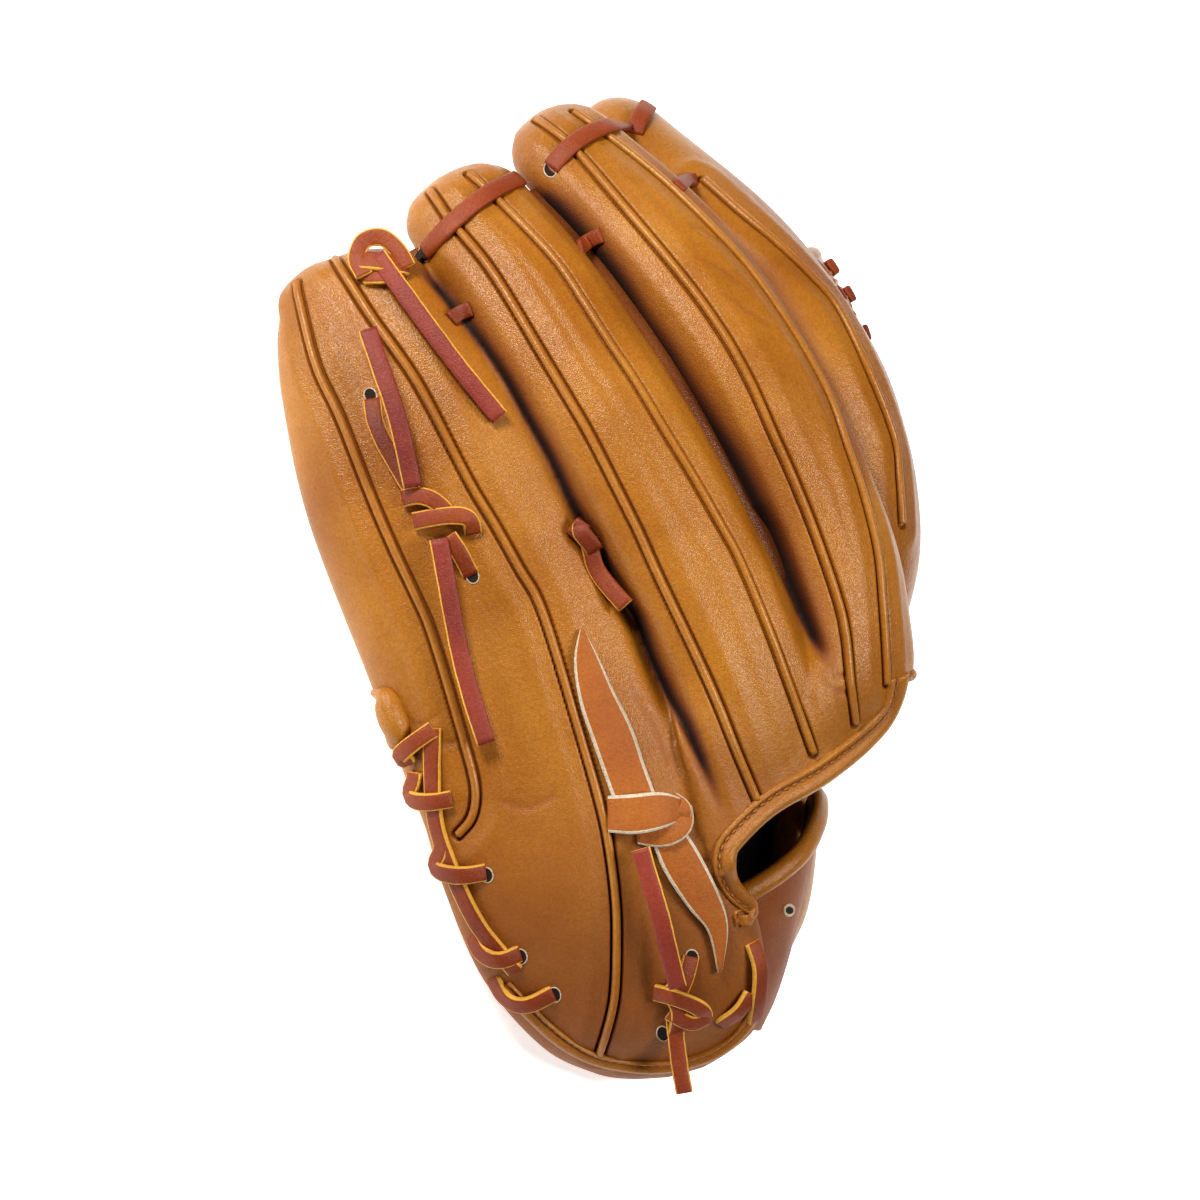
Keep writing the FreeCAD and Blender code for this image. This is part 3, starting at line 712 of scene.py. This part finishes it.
def sheet(name, grid, thick, material):
    """A grid of points in millimetres, thickened by the given amount about its middle."""
    down, wide, _ = grid.shape
    faces = [(i * wide + j, i * wide + j + 1, (i + 1) * wide + j + 1, (i + 1) * wide + j)
             for i in range(down - 1) for j in range(wide - 1)]
    obj = mesh_object(name, grid.reshape(-1, 3) * MM, faces)
    solid = obj.modifiers.new("thick", "SOLIDIFY")
    solid.thickness = thick * MM
    solid.offset = 0
    return dressed(baked(obj), material)


# ---- the glove ----

add_camera()
add_studio()

# Free laces first: their lines repeat the route points of the CAD.
CORDS = {
    "pinky_tip_tail": [
        (-78, 118, 35.5), (-76.5, 103, 42), (-74, 88, 47.6), (-70.8, 74, 52.2), (-66.4, 61, 56)],
    "pinky_stall_upper_tail": [
        (-95, 48, 42), (-94.5, 60.5, 43), (-94, 73, 43), (-93.5, 85.5, 41), (-92, 97, 38.5)],
    "pinky_stall_lower_tail": [
        (-92.5, 31, 44), (-93.5, 16, 43), (-94.5, 0, 41.5), (-95, -16, 41), (-94.5, -32, 41.5)],
    "heel_tail": [
        (-58, -118, 52.5), (-61, -107, 56.5), (-63.5, -96, 60.5), (-65, -85, 62), (-65.5, -75, 62.5)],
}
TAIL_WIDTH = 5.7


def smooth_line(name, points):
    """The points that Blender gives for a NURBS spline with these control points, in metres."""
    curve = bpy.data.curves.new(name + "_line", "CURVE")
    curve.dimensions = "3D"
    curve.resolution_u = 12
    spline = curve.splines.new("NURBS")
    spline.points.add(len(points) - 1)
    for point, (x, y, z) in zip(spline.points, points):
        point.co = (x * MM, y * MM, z * MM, 1)
    spline.order_u = 3
    spline.use_endpoint_u = True
    holder = new_object(name + "_line", curve)
    graph = bpy.context.evaluated_depsgraph_get()
    mesh = bpy.data.meshes.new_from_object(holder.evaluated_get(graph))
    line = np.array([v.co[:] for v in mesh.vertices])
    bpy.data.objects.remove(holder)
    bpy.data.meshes.remove(mesh)
    return line


def add_tails():
    for number, (name, points) in enumerate(CORDS.items()):
        line = smooth_line(name, points)
        body = "hand" if name == "heel_tail" else "fingers"
        centred = line + np.array(TOWARDS) * -0.8 * MM
        bright = "minus" if name in ("pinky_stall_upper_tail", "pinky_tip_tail") else "plus"
        tail = flat_strip(name + "_lace", centred, repeated(TOWARDS, len(line)), TAIL_WIDTH, 1.6, TAIL, RAW,
                          number, bright)
        on(body, tail, "lace", name)


add_tails()

shell = melted("glove_back", [stall_solid(name) for name in ("pinky", "ring", "middle", "index")],
               voxel=1.0, smoothing=5)
skin = Surface(shell)
lacing = Lacing(skin)
# Lines where two stalls meet; how far the shade lies to the side, its reach left and right, and its strength.
GAPS = {
    "pinky_ring": (
        [(-28, 117), (-23, 106), (-19, 97), (-14.5, 86), (-10, 73), (-7, 60), (-3.4, 45), (-1.2, 31),
         (1, 21), (5.5, 0), (8.5, -9), (9.2, -22), (11.4, -34), (13.6, -44), (15.6, -58), (17, -72)],
                   0.6, 1.6, 4.0, 1.0),
    "ring_middle": (
        [(10, 129), (14, 122), (18, 115), (25.5, 99), (29, 89), (32, 77), (36, 66), (39, 54), (43, 42),
         (47, 29), (50, 15), (52, 3), (53.7, -15), (56, -30), (58.5, -38)], 2.6, 1.6, 6.6, 1.0),
    "middle_index": (
        [(50, 132), (60, 114), (65, 105), (71.5, 94), (77.4, 83), (82.6, 69), (86, 49), (88.5, 31),
         (89, 17), (88.5, 4)], -3.0, 2.6, 3.4, 0.45),
}
# The parts of those lines that are pressed in: first point, depth and width.
PRESSED = {"pinky_ring": (7, 4.5, 2.3), "ring_middle": (10, 4.0, 2.6)}
GAP_STEPS = 300


def in_view(points):
    """Across, along and nearness of points given in metres."""
    return ((np.asarray(points) / MM - np.array(MIDDLE)) @ VIEW.T).T


def from_line(line, across, along):
    """Distance of points from a line of the tilted view, its signed side, and the place along the line."""
    flat = curve_through(line, GAP_STEPS)
    tree = tree_of([(a, b, 0) for a, b in flat])
    found = [tree.find((a, b, 0)) for a, b in zip(across, along)]
    where = np.array([i for _, i, _ in found])
    return np.array([gap for _, _, gap in found]), np.sign(across - flat[where, 0]), where


def press_valleys(obj):
    """Press the skin down along the lower parts of the gaps."""
    points = coordinates(obj)
    across, along, near = in_view(points)
    total = np.zeros(len(points))
    for name, (first, depth, width) in PRESSED.items():
        line, shift = GAPS[name][0][first:], GAPS[name][1]
        gap, _, where = from_line(line, across - shift, along)
        top = in_view(skin.route([(u + shift, v) for u, v in line], GAP_STEPS)[0])[2]
        fade = np.minimum(1, np.minimum(where, GAP_STEPS - 1 - where) / 60)
        reach = np.abs(near - top[where]) < 10
        total = np.maximum(total, reach * depth * fade * np.exp(-(gap / width) ** 1.6))
    set_coordinates(obj, points - np.outer(total * MM, np.array(TOWARDS)))


def gap_shade(obj):
    """How dark each vertex is because it lies in the gap between two stalls."""
    across, along, _ = in_view(coordinates(obj))
    facing = vertex_normals(obj) @ np.array(TOWARDS) > -0.1
    dark = np.zeros(len(across))
    for line, shift, left, right, strength in GAPS.values():
        gap, side, where = from_line(line, across - shift, along)
        fade = np.clip(np.minimum(where, GAP_STEPS - 1 - where) / 40, 0, 1)
        width = np.where(side < 0, left, right * (0.45 + 0.55 * fade))
        fade = np.clip(fade + 0.4, 0, 1) * strength
        dark = np.maximum(dark, facing * fade * np.exp(-(gap / width) ** 2.4))
    return dark


press_valleys(shell)

# The hand opening is cut out along the back binding.
OPENING = [(120, -46), (80, -48.5), (74, -57), (63, -63.5), (50, -69), (37, -71.5), (28.5, -74),
           (21, -78.5), (17, -82), (15, -86), (14.5, -91.5), (16, -96), (19, -100), (22, -104.5),
           (23.2, -109.5), (22.5, -115), (20, -119), (26, -123), (45, -127), (120, -127)]


def inside(polygon, x, y):
    """Which of the points lie inside a polygon."""
    hit = np.zeros(len(x), bool)
    for (x1, y1), (x2, y2) in zip(polygon, polygon[1:] + polygon[:1]):
        crosses = (y1 > y) != (y2 > y)
        where = x1 + (y - y1) * (x2 - x1) / ((y2 - y1) or 1e-9)
        hit ^= crosses & (x < where)
    return hit


def cut_away(obj, polygon):
    """Remove the faces of a skin that lie behind a polygon of the tilted view."""
    across, along, _ = in_view(coordinates(obj))
    gone = inside(polygon, across, along)
    mesh = bmesh.new()
    mesh.from_mesh(obj.data)
    mesh.verts.ensure_lookup_table()
    bmesh.ops.delete(mesh, geom=[v for v in mesh.verts if gone[v.index]], context="VERTS")
    mesh.to_mesh(obj.data)
    mesh.free()


# Small creases of the back: on the middle stall, where the valleys run out and beside the heel.
CREASES = [
    [(58, 101), (64, 96), (69, 88)], [(56, 92), (63, 86), (70, 76)], [(61, 79), (67, 72), (72, 66)],
    [(63, 106), (67, 99)], [(59, -39), (62, -42), (66, -42)], [(58, -42), (61, -46), (65, -48)],
    [(-67, -18), (-62, -21), (-57, -20)], [(-68, -24), (-62, -28), (-54, -29)],
    [(-45, -50), (-38, -54), (-30, -53)], [(2, -30), (5, -40), (6, -52)], [(-50, 96), (-46, 88), (-44, 79)],
]


def open_rims(obj, rounds=25):
    """Even out the open edges of a skin; returns each edge as ordered points, in metres."""
    mesh = bmesh.new()
    mesh.from_mesh(obj.data)
    ahead = {}
    for edge in mesh.edges:
        if edge.is_boundary:
            for a, b in (edge.verts, reversed(edge.verts)):
                ahead.setdefault(a, []).append(b)
    lines, seen = [], set()
    for here in ahead:
        loop = []
        while here is not None and here not in seen:
            seen.add(here)
            loop.append(here)
            here = next((v for v in ahead[here] if v not in seen), None)
        if not loop:
            continue
        points = np.array([v.co[:] for v in loop])
        for _ in range(rounds):
            points = 0.5 * points + 0.25 * (np.roll(points, 1, axis=0) + np.roll(points, -1, axis=0))
        for v, place in zip(loop, points):
            v.co = place
        lines.append(points)
    mesh.to_mesh(obj.data)
    mesh.free()
    return lines


welt_lines = {name: skin.route(points, 260) for name, points in WELTS.items()}
welt_lines = {name: (relaxed(line, 12), relaxed(normals, 12)) for name, (line, normals) in welt_lines.items()}
seam_lines = [line for line, _ in welt_lines.values()]
refined(shell, seam_lines, 4.0)
refined(shell, seam_lines, 2.6)
hollow = hollowness(shell, 60) / MM
gap = groove(shell, seam_lines, seam=2.9, width=0.5, depth=1.5, puff=0.5)
creases = score(shell, [skin.route(points, 60)[0] for points in CREASES], 1.0, 0.35)
# Painted shade on the back: dark lines in the grooves beside the welts, shade in the scored creases, darker
# towards the bottom of the heel, and shade in the hollows; the painted shade of the gaps between the stalls
# is taken where it is stronger.
heel = np.clip((-35 - in_view(coordinates(shell))[1]) / 120, 0, 0.5)
painted_shade = 0.66 * np.exp(-((gap - 1.55) / 0.4) ** 2) + 0.25 * creases + heel
painted_shade += np.clip((hollow - 0.6) / 3.0, 0, 0.75)
paint(shell, np.maximum(painted_shade, gap_shade(shell)))
cut_away(shell, OPENING)
rim = max(open_rims(shell), key=len)
bends(shell, "leather", "pinky_stall", "ring_stall", "middle_stall", "index_stall", "pinky_heel_shell",
      "hand_back_shell")

beads = [swept("welt", line, normals, repeated(circle(1.25, 12, -0.15), len(line)), [WELT])
         for line, normals in welt_lines.values()]
bends(joined("back_welts", beads), "welting", "pinky_welts", "ring_welts", "middle_welts", "index_welts")

# Pocket leather between the stalls, seen in the gaps and from below: where it starts and ends on each stall,
# and how it lies to the middle of the stall in x and z.
POCKET_START = -30
POCKET_ENDS = {"pinky": 112, "ring": 121, "middle": 127, "index": 124}
POCKET_SHIFT = np.array([0.5, -2.5])


def spine(name, y):
    """The middle of a stall, x and z, at a place along it."""
    rows = rounded_end(curve_through(STALLS[name], 160), TIPS[name])
    return np.array([np.interp(y, rows[:, 0], rows[:, 1]), np.interp(y, rows[:, 0], rows[:, 2])])


def between_stalls():
    rows = []
    for share in np.linspace(0, 1, 12):
        row = []
        for name, end in POCKET_ENDS.items():
            y = POCKET_START + (end - POCKET_START) * share
            x, z = spine(name, y) + POCKET_SHIFT
            row.append((x, y, z))
        rows.append(row)
    return sheet_grid(rows, 40, 60)


# The dark colour of this pocket leather is painted shade for the gaps between the stalls.
bends(sheet("pocket_leather", between_stalls(), 2.2, POCKET), "leather")

# Back binding: the stitch line, from beside the wrist strap up and out to the index side.
BACK_STITCH = [(21.2, -112.5), (20.9, -109.5), (19.6, -105.4), (16.3, -101.2), (13.3, -96.5), (12.1, -91.8),
               (12.4, -86.1), (14.4, -81.6), (17.7, -78.7), (28.3, -72.8), (36.6, -70.1), (43.3, -68.8),
               (50, -67.2), (57.2, -64.6), (62.9, -62.4), (68, -60), (73.2, -57.1), (77, -52.5),
               (79.5, -47)]


def rolled_edge(name, surface, points, inner, outer, high, count=150):
    """A sewn strip, a stitch channel and a round lip; inner and outer are widths at the start and the end."""
    line, normals = surface.route(points, count)
    line, normals = relaxed(line, 24), unit(relaxed(normals, 40))
    shapes = []
    for t in np.linspace(0, 1, count):
        a = inner[0] + (inner[1] - inner[0]) * t
        b = outer[0] + (outer[1] - outer[0]) * t
        shapes.append([(-a, -0.6), (-a, 0.5), (-a * 0.75, 1.15), (-a * 0.4, 1.2), (-0.55, 0.75), (0, 0.35),
                       (0.55, 0.75), (b * 0.25, high * 0.72), (b * 0.5, high), (b * 0.75, high * 0.86),
                       (b * 0.95, high * 0.3), (b, -high * 0.35), (b * 0.85, -high), (b * 0.5, -high * 1.3),
                       (b * 0.2, -high)])
    edge = swept(name, line, normals, shapes, [TAN])
    # Painted shade in the stitch channel and under the round lip.
    paint(edge, np.tile([0, 0, 0, 0.1, 0.35, 0.6, 0.35, 0.1, 0, 0, 0.05, 0.2, 0.4, 0.5, 0.5], count))
    return edge, line, normals


edge, line, normals = rolled_edge("back_rolled_edge", skin, BACK_STITCH, (0.9, 3.8), (4.6, 6.4), 1.9)
on("hand", edge, "leather", "back_binding")
on("hand", stitches("back_stitches", line, normals, lift=0.75), "welting")
# Where the back binding ends, the rest of the opening's edge is a plain rolled bead.
away = np.flatnonzero(nearest(rim, [line]) > 6 * MM)
runs = np.split(away, np.flatnonzero(np.diff(away) > 1) + 1)
bead_line = relaxed(rim[max(runs, key=len)][4:-2], 10)
last = len(bead_line) - 1
bead_shapes = [circle(2.0 * min(1.0, 0.2 + 0.1 * min(i, last - i)), 14) for i in range(last + 1)]
bends(swept("opening_bead", bead_line, repeated(ACROSS, last + 1), bead_shapes, [TAN]), "leather")

# Heel binding along the bottom.
HEEL_STITCH = [(-58.5, -103), (-54.5, -111), (-47.5, -123), (-38.5, -132.5), (-26, -138.5), (-16, -140.8),
               (-4, -140.3), (6, -135.5), (11.5, -130)]
edge, line, normals = rolled_edge("heel_rolled_edge", skin, HEEL_STITCH, (1.0, 1.0), (4.4, 4.4), 1.6)
on("hand", edge, "leather", "heel_binding")
on("hand", stitches("heel_stitches", line, normals, spacing=2.6, long=2.0, lift=0.6), "welting")


def at_heights(rows):
    """Rows given as {y: [(x, z), ...]} turned into rows of (x, y, z)."""
    return [[(x, y, z) for x, z in row] for y, row in rows.items()]


PALM = {
    -34: [(-97, 6), (-78, 8), (-58, 21), (-38, 45), (-10, 60), (18, 65), (36, 50), (47, 28), (52, 9),
          (67, 4)],
    -60: [(-93, 5), (-76, 6), (-57, 15), (-38, 31), (-12, 43), (8, 41), (24, 27), (34, 13), (42, 5),
          (50, 4)],
    -90: [(-88, 5), (-76, 4), (-58, 9), (-40, 17), (-22, 21), (-7, 18), (9, 11), (22, 5), (31, 3.5),
          (40, 4)],
    -115: [(-76, 5), (-69, 3.5), (-57, 5), (-42, 8), (-27, 10), (-14, 8.5), (0, 5.5), (11, 3.5), (19, 3),
           (27, 4.5)],
    -132: [(-63, 6), (-58, 4), (-51, 4), (-41, 5), (-31, 6), (-22, 6), (-13, 5), (-4, 4), (4, 4), (9, 6)],
    -140: [(-46, 10), (-43, 8.5), (-38, 8), (-33, 8), (-28, 8), (-23, 8), (-18, 8), (-13, 8), (-8, 8.5),
           (-3, 10)],
}
palm_skin = sheet("palm_skin", sheet_grid(at_heights(PALM), 90, 90), 2.2, TAN)
on("hand", palm_skin, "leather", "palm_shell")

# Wrist strap, with a fat rolled rim.
STRAP = [
    [(-27, -97, 60), (-17, -94, 64), (-5, -89.5, 64), (9, -82.5, 57.5), (21.5, -77, 46), (29.5, -79, 34)],
    [(-30, -103, 57), (-19, -103, 59), (-5, -101, 56), (7, -97, 48), (17, -94, 39), (24, -94, 30)],
    [(-28, -119, 46), (-19, -119, 47), (-8, -119, 43.5), (0, -118, 37.5), (8, -117, 30), (14, -117, 22)],
    [(-24, -131, 38), (-18, -131, 38), (-11, -131, 35), (-5, -131, 30), (1, -131, 24), (6, -131, 18)],
    [(-24, -138, 33), (-19, -138, 33), (-14, -138, 30.5), (-10, -138.5, 26.5), (-6, -139, 21),
     (-3, -139, 16)],
]


def moved_out(grid, amount):
    """A grid of points moved along its normals, in millimetres."""
    normals = np.cross(np.gradient(grid, axis=1), np.gradient(grid, axis=0))
    normals /= np.maximum(np.linalg.norm(normals, axis=2), 1e-9)[..., None]
    return grid + normals * amount, normals


strap_grid = sheet_grid(STRAP, 60, 50)
strap = sheet("wrist_strap_skin", strap_grid, 2.0, DARK_TAN)
on("hand", strap, "leather", "wrist_strap")
on("hand", sheet("strap_lining_skin", moved_out(strap_grid, 2.4)[0], 0.9, LINING), "lining", "strap_lining")
on("hand", eyelet("strap_hole", Surface(strap), 29, -106, 1.5, 1.6, 0.5), "leather")
rim_line = curve_through([(-29, -97.5, 58.5), *STRAP[0], (30, -85, 27)], 90) * MM
rim_normals = unit(np.cross(np.gradient(rim_line, axis=0), np.array([0, 1, 0])))
rim_shape = [(wide, high / 1.1) for wide, high in circle(3.3, 20)]
strap_rim = swept("strap_rolled_rim", rim_line, rim_normals, repeated(rim_shape, 90), [TAN])
on("hand", strap_rim, "leather", "strap_binding")

# The web: two leathers, rolled edges at top and foot, stitches, and laces wrapped over the side edges.
WEB = [
    [(68, -12, 57), (76, -12, 52), (82, -12, 46.5), (85, -12, 40)],
    [(71, 20, 58), (79, 20, 52.5), (86, 20, 46.5), (91, 20, 39.5)],
    [(74, 60, 57), (82, 60, 51.5), (88.5, 60, 45.5), (93, 60, 39)],
    [(72, 84, 47.5), (79, 84, 43), (85.5, 84, 38.5), (91, 84, 33.5)],
]
web_grid = sheet_grid(WEB, 40, 80)
web_out, web_normals = moved_out(web_grid, 1.25)
web_in, _ = moved_out(web_grid, -1.25)
on("web", sheet("web_back_skin", web_out, 2.1, TAN), "leather", "web_outer")
on("web", sheet("web_pocket_skin", web_in, 2.1, POCKET), "leather", "web_inner")


def edge_bead(name, line, radius):
    return swept(name, line * MM, repeated(ACROSS, len(line)), repeated(circle(radius, 16), len(line)), [TAN])


edge_beads = [edge_bead("top", web_grid[-1], 3.0), edge_bead("foot", web_grid[0], 2.6)]
on("web", joined("web_rolled_edges", edge_beads), "leather")
seams = [stitches("seam", web_out[4:-4, j] * MM, web_normals[4:-4, j], lift=1.1) for j in (6, 20, 33)]
on("web", joined("web_stitches", seams), "welting")


def web_wrap(row, edge, inward):
    """A lace over one side edge of the web, from its back to its pocket side."""
    far, near = edge + 5 * inward, edge + 2 * inward
    far_up, near_up = web_normals[row, far], web_normals[row, near]
    beyond = web_grid[row, edge] + (web_grid[row, edge] - web_grid[row, near]) * 0.45
    stack = [web_out[row, far] + far_up, web_out[row, near] + 2.2 * near_up, beyond,
             web_in[row + 2, near] - 2.2 * near_up, web_in[row + 2, far] - far_up]
    places = curve_through(stack, 30) * MM
    side = repeated(web_grid[row + 2, edge] - web_grid[row, edge], 30)
    normals = unit(np.cross(side, np.gradient(places, axis=0)) * inward)
    return flat_strip("wrap", places, normals, 5.0, 1.6, LACE, LACE, row)


last_column = web_grid.shape[1] - 1
wraps = [web_wrap(row, edge, inward)
         for edge, inward in ((0, 1), (last_column, -1)) for row in range(6, 76, 11)]
on("web", joined("web_laces", wraps), "lace")

thumb = melted("thumb_back", [stall_solid("thumb")], voxel=1.5, smoothing=4)
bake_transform(thumb)
labelled(thumb, ("thumb_stall", "thumb_heel_shell"))
# Lacing between the thumb and the palm at the heel.
THUMB_LACING = [
    [(85.5, -44, 12), (84, -50, 15), (78, -54, 20), (70.5, -54, 27)],
    [(65.5, -62, 11), (63.5, -64, 17), (60, -66, 22), (55.5, -67, 26.5)],
    [(56, -77, 9.5), (54, -79, 15), (50, -81, 19.5), (45.5, -82, 23)],
]
thumb_skin = Surface(thumb)
thumb_strips = []
for number, points in enumerate(THUMB_LACING):
    places, normals = thumb_skin.near(points, 30)
    places, normals = relaxed(places, 10), relaxed(normals, 20)
    places += normals * np.sin(np.linspace(0.1, math.pi - 0.1, 30))[:, None] * 1.2 * MM
    thumb_strips.append(flat_strip("strip", places, normals, 5.4, 1.6, LACE, LACE, number))
on("hand", joined("thumb_heel_lacing", thumb_strips), "lace", "thumb_heel_lace")

# Fingertip laces and the cross laces between the stalls.
for name, points, lifts in (
        ("ring", [(-21.5, 115.5), (-13, 120), (0, 126), (11, 129)], (-0.5, 0.8, 0.8, 0)),
        ("middle", [(22, 130), (30, 134.5), (40, 137), (47, 137)], (-0.5, 0.8, 0.8, 0)),
        ("index", [(49.5, 134.5), (52, 138), (55.5, 141.5)], (-0.5, 0.8, 0))):
    strip = lacing.lay(name + "_tip_strip", points, lifts, edge=LACE)
    on("fingers", strip, "lace", name + "_tip_lace")
cross = [lacing.lay("cross", points, (-0.5, 0.6, -0.5), width=4.6, facing=0.85, edge=LACE) for points in (
    [(-20, 93.5), (-16.5, 94.5), (-13, 95)], [(23, 104.5), (27, 105.5), (31, 106)],
    [(57, 114), (60, 115), (63, 115.5)])]
on("fingers", joined("cross_strips", cross), "lace", "cross_laces")


def lay_all(name, strips, **how):
    """Several laces of one tie as one object: (points, lifts) each."""
    return joined(name, [lacing.lay("strip", points, lifts, **how) for points, lifts in strips])


def free_lace(name, points, width=5.4):
    """A lace that stands off the leather, through points given as (across, along, nearness)."""
    places = (np.array(MIDDLE) + curve_through(points, 40) @ VIEW) * MM
    return flat_strip(name, places, repeated(TOWARDS, len(places)), width, 1.7, LACE, RAW, 7, "both")


# Tie over the pinky tip: a loop round the tip, a wrap and the top of the tail.
tip_tie = [
    free_lace("arch", [(-41.2, 113, -10), (-42, 119, -12), (-38.5, 123.5, -14), (-33, 123, -14),
                       (-29.5, 118, -13), (-28, 112, -12)]),
    lacing.lay("wrap", [(-43, 117), (-37, 114.5), (-29, 112)], (1.5, 3.4, 1.0), width=5.6),
    lacing.lay("wrap", [(-41, 112.5), (-36, 110.5), (-30.5, 109)], (0.5, 2.4, 0.6), width=4.6),
]
on("fingers", joined("pinky_tip_tie", tip_tie), "lace", "pinky_tip_knot")
# Tie on the pinky stall: two holes, a lace between them and a double knot.
on("fingers", lay_all("pinky_stall_tie", [
    ([(-49.2, 76.5), (-50, 68), (-47.5, 56), (-44.5, 45)], (-1.2, 0.6, 0.6, 1.2)),
    ([(-47.5, 45.5), (-43.5, 45), (-39.5, 42.5), (-37, 38)], (1, 3.6, 3.8, 2)),
    ([(-46.5, 38), (-41.5, 37.5), (-35.5, 36.5), (-31, 34.5), (-31, 30.5)], (1, 3.2, 4.4, 3.6, 0.8)),
    ([(-38.5, 31), (-36.5, 25), (-35.3, 18.5)], (2.4, 1.4, -1.2)),
], width=5.4, bright="both", thick=2.0), "lace", "pinky_stall_knot")
# Short tie at the root of the ring stall.
on("fingers", lay_all("ring_root_tie", [
    ([(-3, 20.5), (0, 23), (4, 21), (4.5, 15.5)], (0.5, 3.6, 3.8, 2.0)),
    ([(2, 19), (5, 9), (9, -3.5)], (3.2, 3.6, 2.4)),
], width=5.4, facing=0.8), "lace", "ring_tie")
# Tie at the heel: knot and the lower end that hangs over the binding.
hang = in_view([skin.seen(-14, -132)[0]])[2][0] + 2.2
hanging_end = free_lace("strip", [(-13.2, -127, hang + 1.4), (-14.6, -135, hang), (-15.8, -143, hang - 0.6),
                                  (-16.5, -150, hang - 1.2)], 5.2)
on("hand", joined("heel_tie", [hanging_end, lay_all("heel_knot_bands", [
    ([(-3.4, -111), (-7, -116), (-11.5, -121)], (-1.0, 1.2, 1.8)),
    ([(-16.5, -117.5), (-11, -119.5), (-5, -124.5), (-4.5, -128)], (0.8, 3.6, 3.4, 1.4)),
    ([(-13.5, -116.5), (-11, -123), (-14, -130.5)], (1.4, 2.6, 1.4)),
    ([(-4, -128.5), (-9, -128), (-14, -124)], (1.6, 3.2, 1.6)),
], width=5.2, bright="both")]), "lace", "heel_knot")
# Lacing along the pinky side of the heel: a long straight strip crossed by wraps.
on("hand", lay_all("pinky_heel_lacing", [
    ([(-58.5, -23), (-62, -35), (-65, -50), (-64.5, -66), (-61.5, -84), (-55, -100)],
     (0.6, 0.6, 0.6, 0.6, 0.6, 0.0)),
    ([(-58.5, -23.5), (-64, -25.5), (-69.5, -28.5), (-74, -31.5)], (1.0, 2.4, 2.2, 0.5)),
    ([(-72.5, -35), (-69.5, -41), (-64.5, -44), (-59, -45)], (0.5, 2.2, 2.6, 0.8)),
    ([(-71, -58), (-68, -64), (-62, -67.5), (-56, -69)], (0.5, 2.2, 2.4, -0.8)),
    ([(-64.8, -87), (-62.5, -92), (-58, -95), (-53, -95.5)], (-0.8, 1.4, 2.2, -0.8)),
    ([(-62.5, -101), (-59.5, -107), (-54, -110), (-46.5, -110)], (-1.0, 1.2, 2.0, -0.8)),
], width=5.4, bright="both"), "lace", "pinky_heel_lace")
# Lacing of the wrist strap into the heel.
on("hand", lay_all("strap_lacing", [
    ([(15.5, -112), (14.5, -119), (12, -127), (9.5, -134)], (-0.6, 1.6, 1.6, 0.6)),
    ([(10.5, -126), (6, -129.5), (0, -133)], (0.6, 1.2, -0.6)),
], width=5.2), "lace", "strap_lace")
holes = [eyelet("hole", skin, u, v) for u, v in (
    (-49.4, 78), (-34.8, 17.5), (-3.0, -111), (-17.8, -131), (-55.5, -70), (-52.5, -96.5), (-46, -110.5),
    (-22, 115), (21.5, 129.5))]
bends(joined("lace_holes", holes), "leather")


def pointed(name, points, lifts, widths, thick=1.5):
    """A strip of tan leather with pale edges, whose width changes along its line."""
    places, normals = lacing.path(points, lifts)
    shapes = [[(x * width, z * thick) for x, z in LACE_SHAPE] for width in eased(widths, len(places))[:, 0]]
    return swept(name, places, normals, shapes, [STRAP_TAN, PALE], LACE_EDGES["both"])


# Strap of the pinky loop: two pointed ends and a knot.
long_end = pointed("loop_strap_long_end",
                   [(-6.5, -61), (-7.2, -52), (-7.8, -40), (-9.2, -28), (-9.2, -16), (-8, -7)],
                   (1.2, 1.2, 1.0, 0.8, 0.8, 0.8), (12.6, 12.6, 12.8, 11, 7.5, 1.2))
on("hand", long_end, "leather", "loop_strap_upper")
short_end = pointed("loop_strap_short_end",
                    [(-0.5, -72), (1.5, -82), (4.5, -94), (6.5, -104), (3.5, -117)],
                    (1.6, 1.2, 1.0, 1.0, 0.8), (10, 12, 10.5, 6.5, 1.2))
on("hand", short_end, "leather", "loop_strap_lower")
knot = [pointed("band", [(-14.8, -62.5), (-8, -64.2), (-1, -65), (4.5, -66.5)], (0.3, 4.4, 4.8, 2.2),
                (11, 12, 11, 7)),
        pointed("bulge", [(-8, -70), (-2, -71.5), (4, -71), (6.5, -66)], (0.5, 3.0, 2.6, 1.2), (7, 9, 8, 5)),
        pointed("fold", [(4, -63.5), (6.2, -67), (4, -71)], (1.0, 2.6, 0.8), (4.5, 5, 4))]
on("hand", joined("loop_strap_half_knot", knot), "leather", "loop_strap_knot")
# Rolled tab where the pinky stall ends at the heel.
places, normals = lacing.path([(-73, -8), (-75, -14), (-73.8, -21), (-69.5, -27)], (0.2, 1.2, 1.2, 0))
tab = [circle(4.6 * math.sqrt(max(0.06, 1 - t * t)), 14) for t in np.linspace(-1, 1, len(places))]
on("hand", swept("pinky_heel_tab", places, normals, tab, [TAN]), "leather")

# CAD nodes that stay in view have a material by a word of their name; the others are linings.
CARRIED = {"_pad": FELT, "stiffener": PLASTIC, "lace": LACE, "knot": LACE, "tie": LACE, "welts": WELT,
           "loop_strap": DARK_TAN}
for name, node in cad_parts.items():
    material = next((look for word, look in CARRIED.items() if word in name), LINING)
    for slot in node.material_slots:
        slot.material = material
